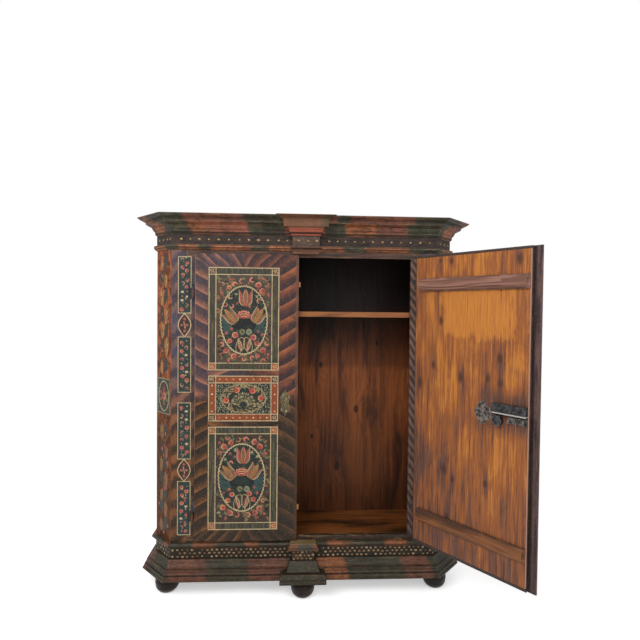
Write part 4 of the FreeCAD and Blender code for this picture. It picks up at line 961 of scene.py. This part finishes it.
def bouquet(brush, u, middle, upper):
    """Three tulips out of a knot of red petals with three cream arches, over dark leaves."""
    brush.oval(u + 2, middle - 22, 62, 32, "10171a", 26, 0.05)
    for k in range(9):
        brush.petal(u - 2, middle - 34, math.radians(20 * k + 10), 50, 12, "1a2725", 0.3)
    brush.next()
    tulip(brush, u + 8, middle + 70, math.radians(90), 84, 66, MOSS, "8a4436")
    brush.layer -= 2
    lift, gather = (14, 8) if upper else (22, 18)
    tulip(brush, u - 38, middle - 28 + lift, math.radians(131), 88, 60, OCHRE, "6a5334")
    brush.layer -= 2
    tulip(brush, u + 58 - gather, middle - 27 + lift, math.radians(58), 82, 62, OCHRE, "6a5334")
    brush.next()
    for angle, tone in ((20, PINK), (160, PINK), (50, ROSE), (130, ROSE),
                        (75, PINK), (105, PINK), (90, RED)):
        brush.petal(u, middle + 12, math.radians(angle), 40, 21, tone, 0.0, 0.6)
    brush.next()
    brush.oval(u, middle + 26, 24, 19, "8a3c30", 18)
    brush.next()
    for k, wide in enumerate((15, 20, 15)):
        arch = [(u + wide * math.cos(t), middle + 14 + k * 11 + 7 * math.sin(t))
                for t in [math.pi * i / 7 for i in range(8)]]
        brush.line(arch, 3.2, CREAM)
    for a, tone in ((-8, MOSS), (26, SAGE)):
        brush.oval(u + a, middle - 58, 15, 16, tone, 16, 0.05)
        brush.next()
        ring = [(u + a + 9 * math.cos(t), middle - 58 + 9 * math.sin(t)) for t in range(6)]
        brush.line(ring, 2.4, SAGE)
        brush.oval(u + a, middle - 58, 4, 4, GREEN, 8)
        brush.layer -= 1
    brush.next()


def closed_buds(brush, u, v):
    """Two closed striped buds at the foot of the oval, leaning together."""
    for side in (-1, 1):
        cu, lean = u + side * 19, side * 0.28
        brush.oval(cu, v, 20, 39, "2a241c", 24, 0.0, lean)
        brush.next()
        for k in range(4):
            share = -0.6 + k * 0.4
            stroke = [(cu + side * 7 + share * 17 * math.sin(math.pi * t) - side * 16 * (1 - t) + side * 4,
                       v - 33 + 66 * t) for t in [i / 6 for i in range(7)]]
            brush.line(stroke, 3.6, (PINK, CREAM, ROSE, CREAM)[k], taper=True)
        rim = [(cu + 20 * math.cos(t) * math.cos(lean) - 39 * math.sin(t) * math.sin(lean),
                v + 20 * math.cos(t) * math.sin(lean) + 39 * math.sin(t) * math.cos(lean))
               for t in [math.tau * i / 24 for i in range(24)]]
        brush.line(rim, 3.0, "9a8c66", closed=True)
        brush.layer -= 1
    brush.layer += 2


def flower_panel(brush, u, v0, v1, half, flowers, dice, upper):
    """A tall panel: banded frame, corner squares and an oval of tulips and roses."""
    brush.box(u - half, u + half, v0, v1, GREEN)
    brush.next()
    ruled_band(brush, u, half, v0, v1, BAND, dice)
    inner, low, high = half - BAND, v0 + BAND, v1 - BAND
    brush.box(u - inner, u + inner, low, high, "45372f" if upper else "372c24")
    brush.next()
    middle = (v0 + v1) / 2 - (6 if upper else -4)
    oval_u = u - (0 if upper else 6)
    field(brush, u, inner, low, high, dice)
    oval_ground(brush, oval_u, middle, dice)
    for corner_u in (u - half, u + half - BAND):
        corner_square(brush, corner_u, v0, BAND, RUST)
        brush.layer -= 2
        corner_square(brush, corner_u, v1 - BAND, BAND, BROWN if upper else RUST)
        brush.layer -= 2
    brush.layer += 2
    band_frame(brush, u, half, v0, v1, BAND)
    strewn(brush, oval_u, middle, flowers, dice)
    bouquet(brush, oval_u, middle, upper)
    closed_buds(brush, oval_u + 2, middle - 124)
    wreath(brush, oval_u, middle, *OVAL, CREAM, 58, 5.2, 5.0)
    brush.next()


def wide_panel(brush, u, v0, v1, half, dice):
    """The low middle panel: an orange-red band with pale dots round a leafy wreath."""
    brush.box(u - half, u + half, v0, v1, "7f4024")
    brush.next()
    inner, low, high = half - BAND, v0 + BAND, v1 - BAND
    brush.box(u - inner, u + inner, low, high, NIGHT)
    brush.next()
    for corner_u in (u - half, u + half - BAND):
        for corner_v in (v0, v1 - BAND):
            corner_square(brush, corner_u, corner_v, BAND, BROWN)
            brush.layer -= 2
    brush.layer += 2
    for row in range(14):
        for column in range(28):
            a = -inner + 6 + column * (2 * inner - 12) / 27 + dice.uniform(-3, 3)
            b = low + 6 + row * (high - low - 12) / 13 + dice.uniform(-3, 3)
            tone = dice.choice(("8a8468", "7c745c", "9a8f72", "555f50"))
            brush.petal(u + a, b, math.radians(90) + dice.uniform(-0.8, 0.8), 10, 4.2, tone)
    brush.next()
    middle = (v0 + v1) / 2
    brush.oval(u, middle, 104, 66, NIGHT, 40)
    brush.next()
    for i in range(150):
        t = math.tau * i / 150
        r = dice.uniform(0.72, 0.98)
        brush.petal(u + 100 * r * math.cos(t), middle + 63 * r * math.sin(t), t + dice.uniform(0.5, 1.4),
                    17, 5, dice.choice(("80603c", "746848", "86704e", MOSS, "9a8a68", BROWN)), 0.5)
    brush.next()
    for i in range(26):
        t = math.radians(8 + 164 * i / 25)
        for r in (0.30, 0.55, 0.80):
            brush.petal(u + 62 * r * math.cos(t), middle - 34 + 66 * r * math.sin(t),
                        t + dice.uniform(-0.5, 0.5), 15, 4.6,
                        dice.choice(("8f8060", "9a8c68", MOSS, "7a6a4c")), 0.4)
    for side in (-1, 1):
        stem = [(u + side * (14 + 8 * k), middle - 44 + 7 * k - 0.6 * k * k) for k in range(7)]
        brush.line(stem, 3.4, "8f8058")
    brush.next()
    for a, b in ((-33, 42), (45, 38), (-85, -10), (87, 2)):
        blossom(brush, u + a, middle + b, 16, "a5483a", dice)
        brush.layer -= 2
    brush.layer += 2
    wreath(brush, u, middle, 109, 70, "96825a", 34, 4.0, 6.0)
    brush.next()
    band_frame(brush, u, half, v0, v1, BAND)
    rows = [(u - inner + 20 + i * (2 * inner - 40) / 7, b)
            for i in range(8) for b in (v0 + BAND / 2, v1 - BAND / 2)]
    columns = [(a, low + 14 + i * (high - low - 28) / 3)
               for i in range(4) for a in (u - half + BAND / 2, u + half - BAND / 2)]
    for a, b in rows + columns:
        brush.oval(a, b, dice.uniform(3.2, 4.6), 4.0, dice.choice((CREAM, "b08a6c", WHITE)), 10, 0.08)
    brush.next()


def cartouches(brush, u0, u1, seed):
    """Narrow frames with a climbing spray, and pointed ovals laced between them."""
    dice = random.Random(seed)
    middle = (u0 + u1) / 2
    for v0, v1 in ((1417, 1701), (1021, 1301), (685, 971), (301, 575)):
        brush.box(u0, u1, v0, v1, "233132")
        brush.next()
        for _ in range(36):
            brush.petal(middle + dice.uniform(-22, 22), dice.uniform(v0 + 12, v1 - 26),
                        math.radians(90) + dice.uniform(-1, 1), dice.uniform(12, 26), 6,
                        dice.choice((TEAL, GREEN, NIGHT)), 0.5)
        brush.next()
        brush.frame(u0, u1, v0, v1, 3.6, CREAM)
        height, side = v0 + 20, dice.choice((-1, 1))
        while height < v1 - 14:
            cu = middle + side * dice.uniform(8, 14)
            brush.petal(middle, height - 10, math.radians(90 - side * 40), 24, 5, "40513f")
            brush.next()
            turn = dice.random()
            if turn < 0.42:
                blossom(brush, cu, height, dice.uniform(9, 12), dice.choice((PINK, "a0584c")), dice)
                brush.layer -= 2
            elif turn < 0.8:
                bud(brush, cu, height, 9, PINK, dice.random() * math.tau, dice)
                brush.layer -= 1
            else:
                brush.oval(cu, height, 8, 6, CREAM, 9, 0.08)
            brush.petal(middle - side * 10, height + 6, dice.random() * math.tau, 9, 5,
                        dice.choice((CREAM, SAGE, ROSE)))
            side = -side
            height += dice.uniform(17, 24)
            brush.layer -= 1
        brush.layer += 3
    for v0, v1 in ((1301, 1417), (575, 685)):
        mid = (v0 + v1) / 2
        arcs = [[(middle + side * 31 * math.sin(math.pi * k / 12), v0 + (v1 - v0) * k / 12)
                 for k in range(13)] for side in (-1, 1)]
        brush.dab(arcs[0] + arcs[1][-2:0:-1], "3c2721")
        brush.next()
        for k in range(4):
            brush.petal(middle, mid, math.radians(45 + 90 * k), 27, 11, "1f2c28")
            brush.petal(middle, mid, math.radians(12 + 90 * k), 20, 6, (SAGE, ROSE)[k % 2])
            brush.oval(middle + 13 * math.cos(math.pi * k / 2), mid + 30 * math.sin(math.pi * k / 2),
                       6, 7, PINK, 10, 0.08)
        brush.next()
        for arc in arcs:
            brush.line(arc, 4.4, CREAM)
        brush.next()
    brush.layer = 0


def on_front(out, side=1):
    """Places paint on a face square to Y that stands out by so many millimetres."""
    def put(u, v, lift):
        return Vector((u / 1000 * side, -out / 1000 - lift, v / 1000))
    return put


def opened(put):
    """The same face on the right door, swung to where that door stands."""
    swing = Matrix.Rotation(RIGHT_OPEN, 4, "Z")

    def moved(u, v, lift):
        return swing @ (put(u, v, lift) - RIGHT_PIN) + RIGHT_PIN
    return moved


def paint_door(name, body, put, seed):
    """The three panels of a door: two tall ones with a low one between."""
    dice = random.Random(seed)
    brush = Brush(name, body, put)
    middle = -PANEL_MIDDLE * 1000
    flower_panel(brush, middle, 1135, 1649, 175, UPPER_FLOWERS, dice, True)
    brush.layer = 0
    wide_panel(brush, middle, 879, 1108, 174, dice)
    brush.layer = 0
    flower_panel(brush, middle, 330, 852, 174, LOWER_FLOWERS, dice, False)
    brush.bake()


# How far the painted faces stand before the front of the case, in millimetres.
DOOR_OUT, LEAF_OUT, LESENE_OUT = -left_door_corner.y * 1000, 2.5, 27

paint_door("left_door_ornament", "left_door", on_front(DOOR_OUT), 5)
paint_door("right_door_ornament", "right_door", opened(on_front(DOOR_OUT, -1)), 8)
for side_name, side, seed in (("left", 1, 3), ("right", -1, 4)):
    stile_face = Brush(f"{side_name}_stile_ornament", "carcase", on_front(0, side))
    cartouches(stile_face, -634, -568, seed)
    stile_face.bake()
for side_name, side in (("left", 1), ("right", -1)):
    leaf = Brush(f"{side_name}_hinge_leaf_paint", "carcase", on_front(LEAF_OUT, side))
    for low, high in ((1490, 1544.5), (370, 424.5)):
        leaf.box(-584, -568, low, high, "1b2223")
    leaf.bake()
lesene_face = Brush("lesene_ornament", "right_door", opened(on_front(LESENE_OUT)))
cartouches(lesene_face, -33, 33, 6)
lesene_face.bake()

CANT_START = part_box("front_stile_right")[1].x


def on_cant(side):
    """Places paint on a cant: u runs from the front corner along the 45 degree face."""
    def put(u, v, lift):
        reach = u / 1000 * math.sqrt(0.5)
        out = lift * math.sqrt(0.5)
        return Vector(((CANT_START + reach + out) * side, reach - out, v / 1000))
    return put


def cant_spray(brush, v0, v1, dice, glow):
    """Ochre tulip flames one above another, with dark leaves and pink buds between."""
    height, side = v0, 1
    while height < v1 - 60:
        middle = 70 + side * dice.uniform(14, 28)
        for turn in (-1.0, -0.6, -0.2, 0.3, 0.7, 1.0):
            brush.petal(middle - side * 30 + dice.uniform(-10, 10), height + dice.uniform(4, 36),
                        math.radians(90) + turn, dice.uniform(34, 60), dice.uniform(9, 15),
                        dice.choice(("24271f", "2b2a20", "33362a")), turn)
        brush.oval(middle - side * 42, height + 64, 15, 32, "27302b", 18, 0.08)
        brush.next()
        length = dice.uniform(62, 94)
        for lean, reach, wide, tone in ((0.0, 1.0, 40, glow[0]), (0.18, 0.94, 13, glow[1]),
                                        (-0.18, 0.92, 13, glow[2]), (0.0, 1.04, 9, glow[3])):
            brush.petal(middle, height + 6, math.radians(90) + lean + dice.uniform(-0.05, 0.05),
                        length * reach, wide * length / 92, tone, -lean, 0.42)
            brush.next()
        brush.petal(middle, height + 10, math.radians(90), 50, 6, RED)
        for _ in range(3):
            brush.oval(70 + dice.uniform(-48, 48), height + dice.uniform(0, 90), 7, 8,
                       dice.choice((PINK, "a1594b", "84413a")), 10, 0.1)
        for _ in range(16):
            brush.petal(70 + dice.uniform(-54, 54), height + dice.uniform(0, 90),
                        math.radians(90) + dice.uniform(-0.9, 0.9), dice.uniform(9, 22), 4.5,
                        dice.choice(("1f1d18", "3d3a28", "5e3426")))
        brush.layer -= 5
        side = -side
        height += dice.uniform(70, 98)
    brush.layer = 0


for side_name, side in (("left", -1), ("right", 1)):
    spray = Brush(f"cant_ornament_{side_name}", "carcase", on_cant(side))
    dice = random.Random(11 + side)
    cant_spray(spray, 1100, 1700, dice, ("84552f", "a67a42", "9a6a36", "b08a50"))
    cant_spray(spray, 290, 890, dice, ("6a4424", "7e5c2c", "744f26", "86683a"))
    spray.layer = 8
    spray.box(10, 132, 905, 1085, "2f3830")
    spray.next()
    spray.frame(10, 132, 905, 1085, 4, "8a8462")
    for k in range(30):
        spray.petal(70 + dice.uniform(-50, 50), 995 + dice.uniform(-76, 60), math.radians(90), 20, 5,
                    dice.choice((GREEN, MOSS, NIGHT)), dice.uniform(-1, 1))
    spray.next()
    spray.oval(70, 995, 46, 74, "3a2a24", 28)
    spray.next()
    for k in range(6):
        spray.petal(70, 995, math.radians(60 * k + 30), 52, 18, dice.choice(("7a4636", MOSS)))
    spray.next()
    blossom(spray, 70, 995, 20, PINK, dice)
    wreath(spray, 70, 995, 47, 75, CREAM, 20, 4.5, 4)
    spray.bake()

# Brush dots on the friezes: one dome per touch of a loaded brush, made by Geometry Nodes
# from the points where the brush went down.

# A dot's thickness and length by its width, and how far its width strays, by its radius.
DOT_THICKNESS, DOT_LENGTH, DOT_STRAY = 0.12, 1.3, 0.30


def dotted(name, spots, radius, dots_material):
    """Set a flat dome on each spot; the tree turns every one to its own face."""
    mesh = bpy.data.meshes.new(name)
    mesh.from_pydata([place for place, _ in spots], [], [])
    facing = mesh.attributes.new("facing", "FLOAT_VECTOR", "POINT")
    for i, (_, way) in enumerate(spots):
        facing.data[i].vector = way
    piece = bpy.data.objects.new(name, mesh)
    bpy.context.scene.collection.objects.link(piece)
    tree = bpy.data.node_groups.new(name, "GeometryNodeTree")
    face = tree.interface
    face.new_socket("Spots", in_out="INPUT", socket_type="NodeSocketGeometry")
    width = face.new_socket("Dot radius", in_out="INPUT", socket_type="NodeSocketFloat")
    uneven = face.new_socket("Unevenness", in_out="INPUT", socket_type="NodeSocketFloat")
    face.new_socket("Dots", in_out="OUTPUT", socket_type="NodeSocketGeometry")
    make, link = tree.nodes.new, tree.links.new
    given, result = make("NodeGroupInput"), make("NodeGroupOutput")
    drop = make("GeometryNodeMeshIcoSphere")
    drop.inputs["Subdivisions"].default_value = 2
    drop.inputs["Radius"].default_value = 1.0
    scatter = make("GeometryNodeInstanceOnPoints")
    attribute = make("GeometryNodeInputNamedAttribute")
    attribute.data_type = "FLOAT_VECTOR"
    attribute.inputs["Name"].default_value = "facing"
    align = make("FunctionNodeAlignEulerToVector")
    align.axis = "Z"
    chance = make("FunctionNodeRandomValue")
    chance.data_type = "FLOAT"
    chance.inputs["Seed"].default_value = 4
    low, high, flat = make("ShaderNodeMath"), make("ShaderNodeMath"), make("ShaderNodeCombineXYZ")
    low.operation, high.operation = "SUBTRACT", "ADD"
    thin, long = make("ShaderNodeMath"), make("ShaderNodeMath")
    thin.operation = long.operation = "MULTIPLY"
    thin.inputs[1].default_value = DOT_THICKNESS
    long.inputs[1].default_value = DOT_LENGTH
    real, paint = make("GeometryNodeRealizeInstances"), make("GeometryNodeSetMaterial")
    paint.inputs["Material"].default_value = dots_material
    for end, limit in ((low, 2), (high, 3)):
        link(given.outputs["Dot radius"], end.inputs[0])
        link(given.outputs["Unevenness"], end.inputs[1])
        link(end.outputs[0], chance.inputs[limit])
    for size in (long.inputs[0], flat.inputs[1], thin.inputs[0]):
        link(chance.outputs[1], size)
    for giver, taker in (
            (long.outputs[0], flat.inputs[0]),
            (thin.outputs[0], flat.inputs[2]),
            (given.outputs["Spots"], scatter.inputs["Points"]),
            (drop.outputs["Mesh"], scatter.inputs["Instance"]),
            (attribute.outputs[0], align.inputs["Vector"]),
            (align.outputs[0], scatter.inputs["Rotation"]),
            (flat.outputs[0], scatter.inputs["Scale"]),
            (scatter.outputs[0], real.inputs[0]),
            (real.outputs[0], paint.inputs["Geometry"]),
            (paint.outputs[0], result.inputs[0])):
        link(giver, taker)
    modifier = piece.modifiers.new("dots", "NODES")
    modifier.node_group = tree
    modifier[width.identifier] = radius
    modifier[uneven.identifier] = radius * DOT_STRAY
    shown = piece.evaluated_get(bpy.context.evaluated_depsgraph_get())
    solid = bpy.data.meshes.new_from_object(shown)
    piece.modifiers.clear()
    piece.data = solid
    solid.name = name
    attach(piece, "carcase")


def dot_finish(name, code, other):
    """Dot paint that drifts between two tones from dot to dot."""
    dots = Finish(name)
    patch = dots.noise((60, 60, 60), 3)
    dab_colour = dots.blend(patch.step(0.42, 0.60), code, other)
    return dots.close(dab_colour, patch * 0.2 + 0.4, patch, 0.0002)


cream_dots = dot_finish("cream_dots_paint", "8f7b5c", "744a34")
gold_dots = dot_finish("gold_dots_paint", "97804e", "7a5636")
FRONT = Vector((0, -1, 0))
CANT = {side: Vector((side, -1, 0)).normalized() for side in (-1, 1)}
FRIEZE_CORNER, FRIEZE_SIDE = 0.6675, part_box("frieze_board_right")[1].x + 0.0001
FRIEZE_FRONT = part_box("frieze_board_front")[0].y - 0.0001
CROWN_BLOCK_FRONT, PLINTH_BLOCK_FRONT = -0.0251, -0.0371
CROWN_LEVEL, PLINTH_LEVELS = 1.787, (0.192, 0.209, 0.226)
PITCH, BLOCK_PITCH, CANT_PITCH = 0.0245, 0.021, 0.0165
crown_spots, plinth_spots = [], []
for x in (-0.618, -0.574, -0.530, -0.483, -0.435, -0.384, -0.332, -0.285, -0.238, -0.190, -0.137,
          -0.093, 0.117, 0.160, 0.200, 0.247, 0.293, 0.339, 0.389, 0.434, 0.483, 0.531, 0.580, 0.629):
    crown_spots.append((Vector((x, FRIEZE_FRONT, CROWN_LEVEL)), FRONT))
for x in (-0.036, 0.011, 0.053):
    crown_spots.append((Vector((x, CROWN_BLOCK_FRONT, CROWN_LEVEL - 0.002)), FRONT))
for side in (-1, 1):
    for reach in (0.008, 0.027, 0.055, 0.081):
        place = Vector(((FRIEZE_CORNER + reach) * side, reach - 0.0013, CROWN_LEVEL))
        crown_spots.append((place, CANT[side]))
    for i in range(6):
        place = Vector((FRIEZE_SIDE * side, 0.13 + i * 0.046, CROWN_LEVEL))
        crown_spots.append((place, Vector((side, 0, 0))))
hand = random.Random(7)


def touch(x, y, z, way):
    """A dot of the plinth, a little above or below its row."""
    plinth_spots.append((Vector((x, y, z + hand.uniform(-0.0016, 0.0016))), way))


for row, level in enumerate(PLINTH_LEVELS):
    shift = 0.012 * (row % 2)
    x = -0.655 + shift
    while x < 0.66:
        if abs(x) > 0.066 and hand.random() > 0.05:
            touch(x + hand.uniform(-0.002, 0.002), FRIEZE_FRONT, level, FRONT)
        x += PITCH
    for i in range(5):
        touch(-0.046 + shift + i * BLOCK_PITCH, PLINTH_BLOCK_FRONT, level, FRONT)
    for side in (-1, 1):
        for i in range(6):
            reach = 0.006 + shift * 0.7 + i * CANT_PITCH
            touch((FRIEZE_CORNER + reach) * side, reach - 0.0013, level, CANT[side])
        y = 0.112 + shift
        while y < 0.38:
            touch(FRIEZE_SIDE * side, y, level, Vector((side, 0, 0)))
            y += PITCH
dotted("crown_frieze_dots", crown_spots, 0.0047, gold_dots)
dotted("plinth_frieze_dots", plinth_spots, 0.0045, cream_dots)

# Camera: hand-held at eye height, a little left of the middle line and turned slightly right.
# Its focal length is in pixels of a picture 640 wide, its place in metres.

PICTURE_WIDTH, SENSOR_WIDTH, FOCAL_PIXELS = 640, 36, 458.11
CAMERA_PLACE = Vector((-0.0339, -2.3124, 1.4385))
yaw, pitch, roll = (math.radians(angle) for angle in (2.69, 1.19, -0.60))
forward = Vector((math.sin(yaw) * math.cos(pitch), math.cos(yaw) * math.cos(pitch), -math.sin(pitch)))
right = Vector((math.cos(yaw), -math.sin(yaw), 0))
down = forward.cross(right)
row_right = right * math.cos(roll) + down * math.sin(roll)
row_down = down * math.cos(roll) - right * math.sin(roll)
camera_data = bpy.data.cameras.new("camera")
camera_data.sensor_width = SENSOR_WIDTH
camera_data.lens = SENSOR_WIDTH * FOCAL_PIXELS / PICTURE_WIDTH
camera = bpy.data.objects.new("camera", camera_data)
axes = Matrix((row_right, -row_down, -forward)).transposed()
camera.matrix_world = Matrix.Translation(CAMERA_PLACE) @ axes.to_4x4()
bpy.context.scene.collection.objects.link(camera)
bpy.context.scene.camera = camera

# Floor and room: a pale floor that keeps the shadow under the cupboard and fades to white
# away from it, a white surround, and two soft lamps.

floor_mesh = bpy.data.meshes.new("floor")
floor_mesh.from_pydata([(-30, -30, 0), (30, -30, 0), (30, 30, 0), (-30, 30, 0)], [], [(0, 1, 2, 3)])
floor = bpy.data.objects.new("floor", floor_mesh)
bpy.context.scene.collection.objects.link(floor)
pale = Finish("pale_floor")
speck = pale.noise((3, 3, 3), 2)
pale.close(pale.blend(speck, "f2f2f2", "f7f7f7"), 0.9)
WHITE_LIGHT = (1, 1, 1, 1)
seen_by = [pale.node("ShaderNodeLightPath", output=f"Is {kind} Ray")
           for kind in ("Camera", "Glossy", "Transmission")]
seen_ray = seen_by[0].top(seen_by[1]).top(seen_by[2])
away = pale.node("ShaderNodeVectorMath", {"operation": "LENGTH"}, {0: pale.place}, 1).step(1.0, 2.6)
glow = pale.node("ShaderNodeEmission", None, {"Color": WHITE_LIGHT, "Strength": 0.45})
white = pale.node("ShaderNodeEmission", None, {"Color": WHITE_LIGHT, "Strength": 1.0})
lit = Value(pale, pale.shader.outputs[0])
both = pale.node("ShaderNodeAddShader", None, {0: lit, 1: glow})
fading = pale.node("ShaderNodeMixShader", None, {0: away, 1: both, 2: white})
shown = pale.node("ShaderNodeMixShader", None, {0: seen_ray, 1: lit, 2: fading})
pale.tree.links.new(shown.socket, pale.tree.nodes["Material Output"].inputs["Surface"])
floor_mesh.materials.append(pale.material)

world = bpy.data.worlds.new("room")
bpy.context.scene.world = world
world.use_nodes = True
sky = world.node_tree
background = sky.nodes["Background"]
background.inputs["Color"].default_value = WHITE_LIGHT
rays = sky.nodes.new("ShaderNodeLightPath")
first, second = sky.nodes.new("ShaderNodeMath"), sky.nodes.new("ShaderNodeMath")
first.operation = second.operation = "MAXIMUM"
strength = sky.nodes.new("ShaderNodeMapRange")
strength.inputs["To Min"].default_value = 0.55
strength.inputs["To Max"].default_value = 1.0
sky.links.new(rays.outputs["Is Camera Ray"], first.inputs[0])
sky.links.new(rays.outputs["Is Glossy Ray"], first.inputs[1])
sky.links.new(first.outputs[0], second.inputs[0])
sky.links.new(rays.outputs["Is Transmission Ray"], second.inputs[1])
sky.links.new(second.outputs[0], strength.inputs["Value"])
sky.links.new(strength.outputs["Result"], background.inputs["Strength"])


def lamp(name, place, aim, size, power):
    """A soft rectangular lamp turned towards its aim."""
    data = bpy.data.lights.new(name, "AREA")
    data.shape = "RECTANGLE"
    data.size, data.size_y = size
    data.energy = power
    thing = bpy.data.objects.new(name, data)
    way = Vector(aim) - Vector(place)
    thing.matrix_world = Matrix.Translation(place) @ way.to_track_quat("-Z", "Y").to_matrix().to_4x4()
    bpy.context.scene.collection.objects.link(thing)


lamp("window", (-1.9, -3.0, 3.7), (0, 0, 1.25), (2.4, 1.8), 125)
lamp("fill", (2.2, -3.4, 3.2), (0.3, 0, 1.2), (2.2, 1.8), 60)
bpy.context.scene.view_settings.view_transform = "Standard"
